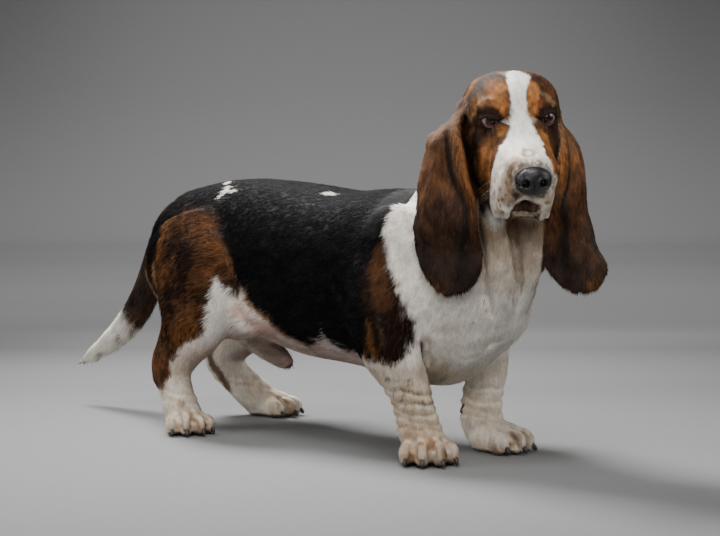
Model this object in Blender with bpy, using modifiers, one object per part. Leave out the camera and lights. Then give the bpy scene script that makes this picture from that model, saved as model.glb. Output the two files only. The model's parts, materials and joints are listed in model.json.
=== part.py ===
"""A standing basset hound at life size, its head turned to its right.

The dog faces +X, its left side is +Y and +Z is up; everything is in metres. The flesh is
lofted from oval sections, fused into one closed form, carved with its folds, and then parted
where a person would name its parts. Ears, eyes and nose are made on their own and meet the
head face to face.
"""

import math

import bmesh
import bpy
import numpy as np
from mathutils import Matrix, Vector

# The box of the finished dog is centred on the origin and stands on z = 0.
STAND_SHIFT = Vector((0.0707, 0.0016, 0.0))

GAP = 0.0003
FLESH_VOXEL = 0.0025
HEAD_FACES = 2600
PAW_FACES = 1200
BODY_FACES = 4100
KEPT_STIFFNESS = 1000.0
MERGE = 0.00002

# Where the flesh is parted: heights and distances forward, then slanting planes by a point
# on each and their slope.
PAW_TOP = 0.045
FORELEG_BACK = 0.092
FORELEG_FRONT = 0.268
THIGH_FRONT = {"right": -0.116, "left": -0.150}
THIGH_BACK = -0.420
TAIL_FRONT = -0.346
TAIL_BOX = (0.040, 0.030, 0.292)
FORELEG_PLANE = (0.050, 0.100, math.radians(29))
THIGH_PLANE = (0.038, 0.140, math.radians(19.5))
LEG_BOX = (0.16, -0.20, 0.24)
HEAD_PLANE = (-0.135, math.radians(35.6))
NECK_PLANE = (0.100, 0.365, math.radians(28.7))
PAW_BOX = (0.085, 0.060, -0.030)

# The head's own frame starts midway between the eyes: forward, left, up.
HEAD_AT = Vector((0.338, -0.056, 0.452))
HEAD_YAW = math.radians(-44)
HEAD_PITCH = math.radians(20)
HEAD_ROLL = math.radians(2.5)
# The loose flews and lips hang nearer to upright than the rolled skull.
HANG_ROLL = math.radians(-2.5)

EYE_RADIUS = 0.0125
EYE_CENTRE = (-0.0065, 0.0350, -0.001)
EYE_OUTWARD = math.radians(24)
EYE_OPENING = (0.0110, 0.0125, 0.0085)
EYE_SAG = (0.0090, 0.0070, 0.0060)
EYE_SAG_DROP = 0.0065

NOSE_CENTRE = (0.1085, 0.0, -0.0410)
NOSE_RADII = (0.0155, 0.0230, 0.0197)
NOSTRIL = (0.1215, 0.0105, -0.0420)
NOSTRIL_RADII = (0.0070, 0.0040, 0.0045)

EAR_THICKNESS = 0.0058
EAR_KEYS = (0, 0.13, 0.28, 0.60, 0.84, 1)
EAR_PLACES = (0, 0.05, 0.14, 0.23, 0.30, 0.42, 0.58, 0.74, 0.89, 1)

# Torso sections: distance forward, middle height, half width, reach up, reach down, squareness.
TORSO = [
    (-0.360, 0.280, 0.012, 0.018, 0.020, 2.0),
    (-0.350, 0.268, 0.045, 0.048, 0.058, 2.0),
    (-0.322, 0.256, 0.074, 0.080, 0.086, 2.1),
    (-0.260, 0.255, 0.089, 0.103, 0.098, 2.2),
    (-0.180, 0.252, 0.093, 0.117, 0.106, 2.2),
    (-0.110, 0.248, 0.100, 0.119, 0.118, 2.2),
    (-0.040, 0.242, 0.110, 0.119, 0.127, 2.2),
    (0.030, 0.240, 0.117, 0.115, 0.130, 2.2),
    (0.090, 0.240, 0.117, 0.119, 0.137, 2.2),
    (0.150, 0.238, 0.112, 0.120, 0.145, 2.1),
    (0.205, 0.234, 0.102, 0.110, 0.140, 2.1),
    (0.248, 0.232, 0.081, 0.095, 0.108, 2.0),
    (0.280, 0.232, 0.058, 0.075, 0.076, 2.0),
    (0.300, 0.234, 0.034, 0.046, 0.046, 2.0),
    (0.310, 0.235, 0.008, 0.010, 0.010, 2.0),
]
# Neck sections from the chest up into the skull: place, half width, throat reach, nape reach.
NECK = [
    (0.175, 0.000, 0.235, 0.104, 0.104, 0.104),
    (0.208, 0.000, 0.285, 0.096, 0.098, 0.104),
    (0.230, -0.002, 0.335, 0.083, 0.084, 0.094),
    (0.246, -0.006, 0.380, 0.067, 0.072, 0.086),
    (0.264, -0.012, 0.420, 0.058, 0.058, 0.078),
    (0.280, -0.018, 0.448, 0.046, 0.040, 0.046),
    (0.288, -0.022, 0.462, 0.024, 0.020, 0.026),
]
# Loose skin of the throat hangs in two folds from the jaw to the chest: place and thickness.
DEWLAP_RIGHT = [
    (0.308, -0.068, 0.362, 0.020, 0.024, 0.020),
    (0.306, -0.064, 0.322, 0.019, 0.021, 0.020),
    (0.306, -0.054, 0.282, 0.018, 0.020, 0.020),
    (0.302, -0.042, 0.235, 0.018, 0.018, 0.020),
    (0.286, -0.032, 0.190, 0.014, 0.014, 0.018),
]
DEWLAP_LEFT = [
    (0.332, -0.036, 0.362, 0.019, 0.024, 0.020),
    (0.332, -0.024, 0.322, 0.018, 0.021, 0.020),
    (0.327, -0.012, 0.282, 0.017, 0.019, 0.020),
    (0.313, -0.001, 0.235, 0.016, 0.016, 0.020),
    (0.288, 0.006, 0.190, 0.013, 0.013, 0.018),
]
TAIL = [
    (-0.285, 0.000, 0.296, 0.036, 0.034, 0.036),
    (-0.318, 0.000, 0.304, 0.034, 0.032, 0.034),
    (-0.344, 0.000, 0.293, 0.030, 0.029, 0.029),
    (-0.364, -0.002, 0.266, 0.025, 0.027, 0.025),
    (-0.384, -0.004, 0.225, 0.022, 0.026, 0.024),
    (-0.411, -0.004, 0.180, 0.020, 0.026, 0.023),
    (-0.450, -0.002, 0.137, 0.018, 0.026, 0.022),
    (-0.500, 0.000, 0.103, 0.014, 0.021, 0.016),
    (-0.545, 0.000, 0.077, 0.008, 0.012, 0.009),
    (-0.567, 0.000, 0.064, 0.0015, 0.002, 0.0015),
]
SHEATH = [
    (-0.215, 0.0, 0.150, 0.020, 0.022, 0.020),
    (-0.170, 0.0, 0.128, 0.020, 0.022, 0.020),
    (-0.130, 0.0, 0.110, 0.017, 0.018, 0.017),
    (-0.105, 0.0, 0.101, 0.011, 0.010, 0.012),
    (-0.097, 0.0, 0.100, 0.004, 0.004, 0.004),
]
# Swellings on either side of the body: centre, radii, yaw and pitch in degrees.
BODY_SIDES = {
    "shoulder_form": ((0.148, 0.080, 0.262), (0.060, 0.040, 0.085), 0, 18),
    "flank_form": ((-0.120, 0.072, 0.180), (0.070, 0.026, 0.040), 0, -20),
}
# Leg sections: place, half width, reach forward, reach back.
LEGS = {
    "foreleg_right": [
        (0.140, -0.080, 0.255, 0.044, 0.062, 0.060),
        (0.150, -0.098, 0.200, 0.043, 0.056, 0.058),
        (0.165, -0.102, 0.155, 0.037, 0.044, 0.050),
        (0.182, -0.098, 0.118, 0.031, 0.034, 0.037),
        (0.192, -0.091, 0.088, 0.028, 0.031, 0.031),
        (0.196, -0.086, 0.062, 0.028, 0.031, 0.030),
        (0.200, -0.082, 0.040, 0.030, 0.032, 0.030),
        (0.205, -0.079, 0.018, 0.029, 0.032, 0.026),
    ],
    "foreleg_left": [
        (0.145, 0.080, 0.255, 0.044, 0.060, 0.060),
        (0.155, 0.098, 0.200, 0.043, 0.054, 0.058),
        (0.170, 0.098, 0.155, 0.037, 0.042, 0.050),
        (0.184, 0.086, 0.118, 0.031, 0.034, 0.037),
        (0.190, 0.074, 0.088, 0.028, 0.031, 0.032),
        (0.192, 0.064, 0.062, 0.028, 0.031, 0.031),
        (0.198, 0.058, 0.040, 0.030, 0.032, 0.031),
        (0.208, 0.055, 0.018, 0.029, 0.032, 0.026),
    ],
    "hindleg_right": [
        (-0.245, -0.055, 0.300, 0.045, 0.070, 0.060),
        (-0.225, -0.078, 0.250, 0.048, 0.086, 0.068),
        (-0.200, -0.096, 0.200, 0.044, 0.080, 0.070),
        (-0.198, -0.106, 0.160, 0.038, 0.058, 0.060),
        (-0.220, -0.109, 0.122, 0.030, 0.038, 0.044),
        (-0.238, -0.108, 0.088, 0.025, 0.030, 0.041),
        (-0.233, -0.105, 0.058, 0.024, 0.027, 0.028),
        (-0.227, -0.103, 0.034, 0.027, 0.030, 0.028),
        (-0.220, -0.102, 0.018, 0.027, 0.030, 0.026),
    ],
    "hindleg_left": [
        (-0.245, 0.055, 0.300, 0.045, 0.070, 0.060),
        (-0.235, 0.074, 0.250, 0.048, 0.086, 0.066),
        (-0.228, 0.080, 0.200, 0.044, 0.078, 0.066),
        (-0.244, 0.074, 0.160, 0.038, 0.058, 0.056),
        (-0.276, 0.062, 0.124, 0.030, 0.042, 0.042),
        (-0.296, 0.056, 0.092, 0.025, 0.032, 0.038),
        (-0.280, 0.068, 0.060, 0.024, 0.028, 0.028),
        (-0.262, 0.084, 0.036, 0.027, 0.030, 0.028),
        (-0.250, 0.098, 0.018, 0.027, 0.030, 0.026),
    ],
}
# Paws: place on the ground, direction in degrees, size.
PAWS = {
    "foreleg_right": (0.208, -0.080, -42, 1.0),
    "foreleg_left": (0.222, 0.056, 8, 1.0),
    "hindleg_right": (-0.216, -0.104, -28, 0.90),
    "hindleg_left": (-0.242, 0.104, 20, 0.90),
}
# Toes in the paw's frame, on one side: place, then length, width and height from the middle.
TOES = [
    (0.0320, 0.0110, 0.0175, 0.0225, 0.0122, 0.0185),
    (0.0180, 0.0280, 0.0165, 0.0215, 0.0120, 0.0172),
]
PAW_FORMS = {
    "paw_form": ((0.000, 0, 0.020), (0.040, 0.0345, 0.026)),
    "heel_form": ((-0.012, 0, 0.014), (0.026, 0.026, 0.018)),
}
TOE_FAN = 0.090
TOE_PITCH = 8

CLAW_RADIUS = 0.0031
CLAW_PITCH = math.radians(22)
CLAW_PLACE = (0.72, 0.62)
# Claw: distance along it, height of its middle, share of its radius.
CLAW = [
    (-0.0060, 0.0000, 1.0),
    (0.0020, 0.0004, 1.0),
    (0.0080, -0.0002, 0.7),
    (0.0135, -0.0018, 0.3),
]

# Skull and muzzle in the head's frame: forward, middle height, half width, up, down, squareness.
SKULL = [
    (-0.146, -0.004, 0.008, 0.010, 0.012, 2.0),
    (-0.136, -0.008, 0.032, 0.026, 0.034, 2.0),
    (-0.110, -0.012, 0.053, 0.0405, 0.052, 2.4),
    (-0.080, -0.014, 0.063, 0.0525, 0.062, 2.6),
    (-0.048, -0.014, 0.063, 0.0580, 0.068, 2.6),
    (-0.020, -0.016, 0.056, 0.051, 0.066, 2.2),
    (0.004, -0.022, 0.043, 0.030, 0.056, 2.2),
    (0.028, -0.032, 0.037, 0.028, 0.046, 2.3),
    (0.062, -0.038, 0.0355, 0.029, 0.040, 2.5),
    (0.090, -0.042, 0.034, 0.029, 0.032, 2.5),
    (0.107, -0.042, 0.027, 0.025, 0.024, 2.2),
    (0.115, -0.042, 0.010, 0.012, 0.012, 2.0),
]
# Swellings on either side of the head, on its left: centre, radii, yaw and pitch in degrees.
HEAD_SIDES = {
    "cheek_form": ((-0.030, 0.042, -0.046), (0.056, 0.022, 0.042), -10, 6),
    "brow_form": ((-0.016, 0.031, 0.012), (0.024, 0.021, 0.0155), 25, 14),
    "lid_form": ((-0.0065, 0.035, -0.002), (0.0159, 0.0159, 0.0156), 0, 0),
    "bag_form": ((0.000, 0.035, -0.019), (0.016, 0.012, 0.012), 30, 0),
}
HANGING_SIDES = {
    "flew_form": ((0.052, 0.0262, -0.067), (0.052, 0.0140, 0.049), -3, 4),
    "lip_form": ((0.087, 0.0205, -0.066), (0.026, 0.0165, 0.0400), 0, 0),
    "jowl_form": ((0.002, 0.035, -0.060), (0.044, 0.018, 0.034), -8, 8),
}
HANGING_MIDDLE = {
    "chin_form": ((0.066, 0, -0.088), (0.034, 0.0200, 0.016), 0, 4),
    "throat_form": ((-0.025, 0, -0.084), (0.066, 0.038, 0.040), 0, 22),
    "occiput_form": ((-0.122, 0, 0.006), (0.020, 0.018, 0.018), 0, 0),
}

# Ears, in millimetres from the eyes, turned with the head: height, then places forward and left
# of the front edge, the crest of the front fold, the valley behind it, the widest part of the
# leaf, the groove behind that and the back edge.
EAR_RIGHT = [
    (36, -56, -40, -58, -45, -62, -50, -68, -52, -75, -48, -82, -40),
    (26, -50, -49, -52, -55, -58, -60, -68, -62, -78, -57, -88, -47),
    (12, -40, -60, -42, -64, -50, -66, -66, -67.5, -82, -62, -96, -53),
    (-1, -32, -68, -30, -73, -42, -76, -62, -77, -84, -72, -100, -64),
    (-10, -26, -71.5, -20, -77, -34, -81, -60, -88, -86, -84, -103, -76),
    (-20, -20, -72, -10, -78, -38, -84, -44, -96, -78, -100, -106, -89),
    (-40, -10, -68.5, 4, -76, -31, -83.5, -38, -100, -74, -106, -108, -97),
    (-62, -2, -65.5, 13, -74, -27, -81, -33, -103, -70, -112, -107, -103),
    (-84, 6, -62, 18, -69, -17, -76, -28, -105.5, -66, -117, -98, -111),
    (-106, 12, -57.5, 18, -61.5, 0, -67.5, -22, -106, -54, -119, -76, -119),
    (-136, 11, -52, 12, -59, 8, -66, -16, -100, -42, -118.5, -57, -127),
    (-166, 2, -44, -2, -57, -9, -71, -27.5, -97.5, -45.5, -114, -62, -126),
    (-193, 0, -44, -3.5, -56, -8.5, -69, -23.5, -94.5, -38.5, -111, -50, -121),
    (-226, -6, -50, -8.5, -60, -12.5, -70.5, -24, -91.5, -35, -105.5, -44, -114),
]
EAR_LEFT = [
    (26, -50, 46, -52, 49, -58, 52, -68, 57.5, -78, 53, -88, 44),
    (12, -42, 54.5, -44, 57.5, -52, 60, -66, 62.5, -80, 60, -94, 53),
    (-4, -34, 56.5, -34, 59.5, -44, 62, -62, 66, -82, 66.5, -97, 63),
    (-16, -28, 55.5, -22, 60, -38, 64.5, -58, 75, -84, 79, -98, 79),
    (-30, -23, 53, -11, 60.5, -41, 67.5, -46, 80, -72, 88, -97, 89),
    (-45, -18, 51.5, -3, 60, -38, 68, -43, 83.5, -70, 93.5, -94, 98),
    (-62, -14, 49.5, 3, 59.5, -34, 68, -39, 86, -68, 97, -91, 103),
    (-84, -12, 47, 3, 56, -26, 65, -35, 88, -64, 99, -86, 104),
    (-106, -14, 45, -4, 50, -14, 56, -42, 90, -64, 100, -80, 106),
    (-136, -24, 40, -25, 52.5, -29, 66, -42, 89.5, -57, 103, -70, 109),
    (-166, -31, 38, -30, 51, -31, 65, -38.5, 91.5, -49.5, 109, -60, 118),
    (-193, -36, 41, -33.5, 54, -32.5, 68, -36, 97, -43, 118, -50, 131),
    (-226, -38, 56, -36, 65.5, -35, 76.5, -36.5, 100, -40.5, 117, -45, 128),
]
EAR_ROUND_FROM = -0.166


def turned_frame(origin, yaw, pitch=0.0, roll=0.0):
    turn = Matrix.Rotation(yaw, 4, "Z") @ Matrix.Rotation(pitch, 4, "Y")
    return Matrix.Translation(origin) @ turn @ Matrix.Rotation(roll, 4, "X")


HEAD = turned_frame(HEAD_AT, HEAD_YAW, HEAD_PITCH, HEAD_ROLL)
HANG = turned_frame(HEAD_AT, HEAD_YAW, HEAD_PITCH, HANG_ROLL)
EAR_FRAME = turned_frame(HEAD_AT, HEAD_YAW)


def smooth_rows(keys, rows, at):
    """Follows rows of numbers, given at the keys, as one smooth curve."""
    keys = np.asarray(keys, float)
    rows = np.asarray(rows, float)
    slope = np.gradient(rows, keys, axis=0)
    i = np.clip(np.searchsorted(keys, at, side="right") - 1, 0, len(keys) - 2)
    span = (keys[i + 1] - keys[i])[:, None]
    t = (at - keys[i])[:, None] / span
    t2 = t * t
    t3 = t2 * t
    return (
        (2 * t3 - 3 * t2 + 1) * rows[i]
        + (t3 - 2 * t2 + t) * span * slope[i]
        + (3 * t2 - 2 * t3) * rows[i + 1]
        + (t3 - t2) * span * slope[i + 1]
    )


def link(name, mesh):
    obj = bpy.data.objects.new(name, mesh)
    bpy.context.scene.collection.objects.link(obj)
    return obj


def mesh_object(name, points, faces):
    mesh = bpy.data.meshes.new(name)
    mesh.from_pydata([tuple(p) for p in points], [], faces)
    return link(name, mesh)


def tube_faces(rings, sides):
    """Faces round a closed row of rings, with a point at either end after the rings."""
    faces = []
    for i in range(rings - 1):
        for j in range(sides):
            k = (j + 1) % sides
            faces.append((i * sides + j, i * sides + k, (i + 1) * sides + k, (i + 1) * sides + j))
    first = rings * sides
    end = (rings - 1) * sides
    for j in range(sides):
        k = (j + 1) % sides
        faces.append((first, k, j))
        faces.append((first + 1, end + j, end + k))
    return faces


def loft(name, stations, frame=None, sides=28, step=0.006):
    """Joins oval sections along a smooth path in the frame's own X-Z plane or near it.

    A station is a place, the half width along Y, the reaches to either side of the path
    across the width, and a squareness: 2 is an ellipse.
    """
    rows = np.array([s if len(s) == 7 else (*s, 2.0) for s in stations], float)
    along = np.r_[0, np.cumsum(np.linalg.norm(np.diff(rows[:, :3], axis=0), axis=1))]
    count = max(len(rows) * 2, int(along[-1] / step))
    at = np.linspace(0, along[-1], count)
    rings = smooth_rows(along, rows, at)
    rings[:, 3:6] = np.maximum(rings[:, 3:6], 0.001)
    tangent = np.gradient(rings[:, :3], at, axis=0)
    tangent /= np.linalg.norm(tangent, axis=1)[:, None]
    side = np.array([0.0, 1.0, 0.0])
    across = side - (tangent @ side)[:, None] * tangent
    across /= np.linalg.norm(across, axis=1)[:, None]
    normal = np.cross(tangent, across)
    angle = np.linspace(0, 2 * math.pi, sides, endpoint=False)
    c = np.cos(angle)
    s = np.sin(angle)
    points = []
    for ring, a, n in zip(rings, across, normal):
        power = 2 / ring[6]
        wide = ring[3] * np.sign(c) * np.abs(c) ** power
        high = np.where(s > 0, ring[4], ring[5]) * np.sign(s) * np.abs(s) ** power
        points.append(ring[:3] + np.outer(wide, a) + np.outer(high, n))
    points = np.concatenate(points + [rings[:1, :3], rings[-1:, :3]])
    obj = mesh_object(name, points, tube_faces(count, sides))
    if frame is not None:
        obj.data.transform(frame)
    return obj


def blob(name, centre, radii, yaw=0.0, pitch=0.0, frame=None, detail=3):
    """An ellipsoid; yaw and pitch are in degrees."""
    bm = bmesh.new()
    bmesh.ops.create_icosphere(bm, subdivisions=detail, radius=1.0)
    mesh = bpy.data.meshes.new(name)
    bm.to_mesh(mesh)
    bm.free()
    place = turned_frame(Vector(centre), math.radians(yaw), math.radians(pitch))
    mesh.transform((frame or Matrix.Identity(4)) @ place @ Matrix.Diagonal((*radii, 1.0)))
    return link(name, mesh)


def both_sides(table, frame=None):
    """Swellings of a table on the left and, mirrored, on the right."""
    forms = []
    for name, ((x, y, z), radii, yaw, pitch) in table.items():
        for side in (-1, 1):
            forms.append(blob(name, (x, side * y, z), radii, side * yaw, pitch, frame))
    return forms


def torso_forms():
    rows = [(x, 0, z, wide, up, down, square) for x, z, wide, up, down, square in TORSO]
    forms = [loft("torso_form", rows), loft("neck_form", NECK), loft("tail_form", TAIL, sides=20)]
    forms.append(loft("dewlap_form", DEWLAP_RIGHT, sides=16))
    forms.append(loft("dewlap_form", DEWLAP_LEFT, sides=16))
    forms.append(loft("sheath_form", SHEATH, sides=20))
    return forms + both_sides(BODY_SIDES)


def paw_frame(name):
    x, y, yaw, size = PAWS[name]
    return turned_frame(Vector((x, y, 0)), math.radians(yaw)) @ Matrix.Scale(size, 4)


def toe_places():
    for x, y, z, length, width, height in TOES:
        for side in (-1, 1):
            yield x, side * y, z, length, width, height


def leg_forms():
    forms = []
    for name, rows in LEGS.items():
        forms.append(loft(name + "_form", rows, sides=24))
        frame = paw_frame(name)
        for part, (centre, radii) in PAW_FORMS.items():
            forms.append(blob(part, centre, radii, frame=frame))
        for x, y, z, length, width, height in toe_places():
            splay = math.degrees(math.atan2(y, TOE_FAN))
            forms.append(blob("toe_form", (x, y, z), (length, width, height), splay, TOE_PITCH, frame))
    return forms


def head_forms():
    rows = [(x, 0, z, wide, up, down, square) for x, z, wide, up, down, square in SKULL]
    forms = [loft("skull_form", rows, HEAD, step=0.005)]
    for name, (centre, radii, yaw, pitch) in HANGING_MIDDLE.items():
        forms.append(blob(name, centre, radii, yaw, pitch, HANG))
    return forms + both_sides(HEAD_SIDES, HEAD) + both_sides(HANGING_SIDES, HANG)


def evaluated_mesh(obj):
    graph = bpy.context.evaluated_depsgraph_get()
    return bpy.data.meshes.new_from_object(obj.evaluated_get(graph))


def apply_modifiers(obj):
    mesh = evaluated_mesh(obj)
    obj.modifiers.clear()
    obj.data = mesh


def fused(name, forms, voxel):
    """One closed surface round all the forms."""
    bm = bmesh.new()
    for form in forms:
        bm.from_mesh(form.data)
        bpy.data.objects.remove(form)
    mesh = bpy.data.meshes.new(name)
    bm.to_mesh(mesh)
    bm.free()
    obj = link(name, mesh)
    remesh = obj.modifiers.new("surface", "REMESH")
    remesh.mode = "VOXEL"
    remesh.voxel_size = voxel
    apply_modifiers(obj)
    return obj


def points_of(mesh):
    co = np.empty(len(mesh.vertices) * 3)
    mesh.vertices.foreach_get("co", co)
    return co.reshape(-1, 3)


def normals_of(mesh):
    no = np.empty(len(mesh.vertices) * 3)
    mesh.vertex_normals.foreach_get("vector", no)
    return no.reshape(-1, 3)


def set_points(mesh, co):
    mesh.vertices.foreach_set("co", co.ravel())
    mesh.update()


def in_frame(frame, co):
    """The points' coordinates in a frame."""
    inverse = np.array(frame.inverted())
    return co @ inverse[:3, :3].T + inverse[:3, 3]


def smooth(mesh, rounds, weight):
    """Pulls each point towards the middle of its neighbours, by its weight."""
    co = points_of(mesh)
    ends = np.empty(len(mesh.edges) * 2, int)
    mesh.edges.foreach_get("vertices", ends)
    a, b = ends.reshape(-1, 2).T
    count = np.bincount(a, minlength=len(co)) + np.bincount(b, minlength=len(co))
    for _ in range(rounds):
        total = np.stack([
            np.bincount(a, co[b, k], len(co)) + np.bincount(b, co[a, k], len(co))
            for k in range(3)
        ], 1)
        co += weight[:, None] * (total / count[:, None] - co)
    set_points(mesh, co)


def near_line(co, line):
    """Each point's distance from a bent line, and how far along it, from 0 to 1."""
    line = np.asarray(line, float)
    lengths = np.linalg.norm(np.diff(line, axis=0), axis=1)
    starts = np.r_[0, np.cumsum(lengths)]
    best = np.full(len(co), 9.0)
    place = np.zeros(len(co))
    for a, b, start, length in zip(line[:-1], line[1:], starts, lengths):
        t = np.clip((co - a) @ (b - a) / length**2, 0, 1)
        away = np.linalg.norm(co - a - t[:, None] * (b - a), axis=1)
        closer = away < best
        best = np.where(closer, away, best)
        place = np.where(closer, start + t * length, place)
    return best, place / starts[-1]


def crease(co, line, width, depth):
    """How far each point sinks into a fold along a line; the fold fades at both ends."""
    away, place = near_line(co, line)
    ends = np.clip(np.minimum(place, 1 - place) / 0.15, 0, 1)
    return depth * (0.25 + 0.75 * ends) * np.exp(-((away / width) ** 2))


def mirrored(line):
    return [(x, -y, z) for x, y, z in line]


# Mouth: the lips part below the nose and hang as flews to either side of the chin.
MOUTH_CREASES = [
    ([(0.114, 0.0, -0.058), (0.113, 0.0, -0.068)], 0.0026, 0.0040),
    ([(0.112, 0.002, -0.069), (0.106, 0.014, -0.085), (0.090, 0.019, -0.102)], 0.0036, 0.0080),
    ([(0.092, 0.018, -0.104), (0.060, 0.020, -0.112), (0.020, 0.028, -0.110), (-0.020, 0.036, -0.096)],
     0.0060, 0.0080),
]
HEAD_CREASES = [
    # Below and outside the eye, and over the brow.
    ([(0.014, 0.022, -0.010), (0.012, 0.034, -0.030), (-0.008, 0.050, -0.034)], 0.0040, 0.0022),
    ([(0.010, 0.016, 0.012), (-0.002, 0.030, 0.032), (-0.022, 0.046, 0.026)], 0.0050, 0.0018),
    # Down the cheek from the eye's outer corner.
    ([(-0.018, 0.054, -0.012), (-0.008, 0.060, -0.050), (0.010, 0.050, -0.090)], 0.0050, 0.0025),
]
BODY_CREASES = [
    # Between and beside the two folds of the throat.
    ([(0.352, -0.082, 0.325), (0.334, -0.052, 0.285), (0.318, -0.026, 0.240), (0.298, -0.012, 0.200)],
     0.0060, 0.0080),
    ([(0.300, -0.104, 0.320), (0.290, -0.090, 0.280), (0.285, -0.068, 0.240)], 0.0070, 0.0060),
    # Round the top of each foreleg, in front and behind.
    ([(0.238, -0.100, 0.200), (0.236, -0.076, 0.150), (0.216, -0.052, 0.112)], 0.0090, 0.0050),
    ([(0.240, 0.100, 0.200), (0.238, 0.076, 0.150), (0.218, 0.052, 0.112)], 0.0090, 0.0050),
    ([(0.085, -0.120, 0.230), (0.098, -0.116, 0.170), (0.116, -0.098, 0.125)], 0.0100, 0.0040),
    ([(0.085, 0.120, 0.230), (0.098, 0.116, 0.170), (0.116, 0.098, 0.125)], 0.0100, 0.0040),
]
# Rings of loose skin on the legs: leg, heights of the creases, depth.
LEG_RINGS = {
    "foreleg_right": ((0.052, 0.068, 0.086, 0.106), 0.0022),
    "foreleg_left": ((0.052, 0.069, 0.088, 0.108), 0.0022),
    "hindleg_right": ((0.050,), 0.0014),
    "hindleg_left": ((0.052,), 0.0014),
}


def carve(mesh):
    """Sinks the folds of the loose skin and the gaps between the toes."""
    co = points_of(mesh)
    sink = np.zeros(len(co))
    for frame, creases in ((HEAD, HEAD_CREASES), (HANG, MOUTH_CREASES)):
        head_co = in_frame(frame, co)
        for line, width, depth in creases:
            sink = np.maximum(sink, crease(head_co, line, width, depth))
            sink = np.maximum(sink, crease(head_co, mirrored(line), width, depth))
    for line, width, depth in BODY_CREASES:
        sink = np.maximum(sink, crease(co, line, width, depth))
    for name, (levels, depth) in LEG_RINGS.items():
        centre = np.array([(z, x, y) for x, y, z, *_ in LEGS[name]])[::-1]
        middle = smooth_rows(centre[:, 0], centre[:, 1:], np.clip(co[:, 2], 0.018, 0.25))
        near = np.linalg.norm(co[:, :2] - middle, axis=1) < 0.055
        for level in levels:
            tilt = (co[:, 0] - middle[:, 0]) * 0.12
            sink += near * depth * np.exp(-(((co[:, 2] - level + tilt) / 0.0048) ** 2))
    for name in PAWS:
        paw_co = in_frame(paw_frame(name), co)
        for side in (-1, 0, 1):
            gap = [(0.026, side * 0.0190, 0.036), (0.048, side * 0.0230, 0.022), (0.050, side * 0.0240, 0.0)]
            if side:
                gap = [(x - 0.008, y, z) for x, y, z in gap]
            sink = np.maximum(sink, crease(paw_co, gap, 0.0042, 0.0060))
    set_points(mesh, co - normals_of(mesh) * sink[:, None])


def thin_out(obj, keep, faces):
    """Collapses faces away from the kept points until the object has so many left."""
    group = obj.vertex_groups.new(name="kept")
    group.add([int(i) for i in np.flatnonzero(keep)], 1.0, "REPLACE")
    now = sum(len(face.vertices) - 2 for face in obj.data.polygons)
    thin = obj.modifiers.new("thin", "DECIMATE")
    thin.ratio = faces / now
    thin.vertex_group = "kept"
    thin.invert_vertex_group = True
    thin.vertex_group_factor = KEPT_STIFFNESS
    thin.use_collapse_triangulate = True
    apply_modifiers(obj)
    obj.vertex_groups.clear()


def face_count_within(obj, inside):
    index = np.empty(len(obj.data.loops), int)
    obj.data.loops.foreach_get("vertex_index", index)
    return int(inside[index].sum() / 3)


def on_head(co):
    local = in_frame(HEAD, co)
    return (local[:, 0] + 0.135) * 0.58 + local[:, 2] * 0.81 > 0.004


def on_paw(co):
    return co[:, 2] < PAW_TOP + 0.004


def on_body(co):
    return ~(on_head(co) | on_paw(co))


def flesh():
    """The whole skin of the dog, without ears, as one closed form of even fineness by region."""
    whole = fused("flesh", torso_forms() + leg_forms() + head_forms(), FLESH_VOXEL)
    mesh = whole.data
    co = points_of(mesh)
    head_co = in_frame(HEAD, co)
    face = np.linalg.norm(head_co - np.array([0.03, 0, -0.03]), axis=1)
    weight = np.clip((face - 0.075) / 0.07, 0.10, 1.0) * np.clip((co[:, 2] - 0.03) / 0.05, 0.10, 1.0)
    smooth(mesh, 40, weight * 0.6)
    carve(mesh)
    smooth(mesh, 2, np.full(len(co), 0.4))
    for region, faces in ((on_body, BODY_FACES), (on_head, HEAD_FACES), (on_paw, PAW_FACES)):
        inside = region(points_of(mesh))
        mesh = whole.data
        total = sum(len(face.vertices) - 2 for face in mesh.polygons)
        if len(mesh.polygons[0].vertices) == 4:
            within = int(inside.mean() * total)
        else:
            within = face_count_within(whole, inside)
        thin_out(whole, ~inside, total - within + faces)
        mesh = whole.data
    return whole


def ear_sheet(rows, heights, u):
    """The middle of an ear's sheet and the way out of it, by height and by place across."""
    rows = np.array(rows, float)[::-1] / 1000
    side = np.sign(rows[0, 2])
    sheet = []
    outs = []
    for height, row in zip(heights, smooth_rows(rows[:, 0], rows[:, 1:], heights)):
        line = smooth_rows(EAR_KEYS, row.reshape(-1, 2), u)
        end = max(0.0, (EAR_ROUND_FROM - height) / (EAR_ROUND_FROM - rows[0, 0]))
        line = line.mean(0) + (line - line.mean(0)) * (1 - (0.985 * end) ** 2.6) ** (1 / 2.6)
        along = np.gradient(line, u, axis=0)
        out = np.stack([along[:, 1], -along[:, 0]], 1) * side
        out /= np.linalg.norm(out, axis=1)[:, None]
        sheet.append(np.column_stack([line, np.full(len(u), height)]))
        outs.append(np.column_stack([out, np.zeros(len(u))]))
    return np.array(sheet), np.array(outs)


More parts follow.
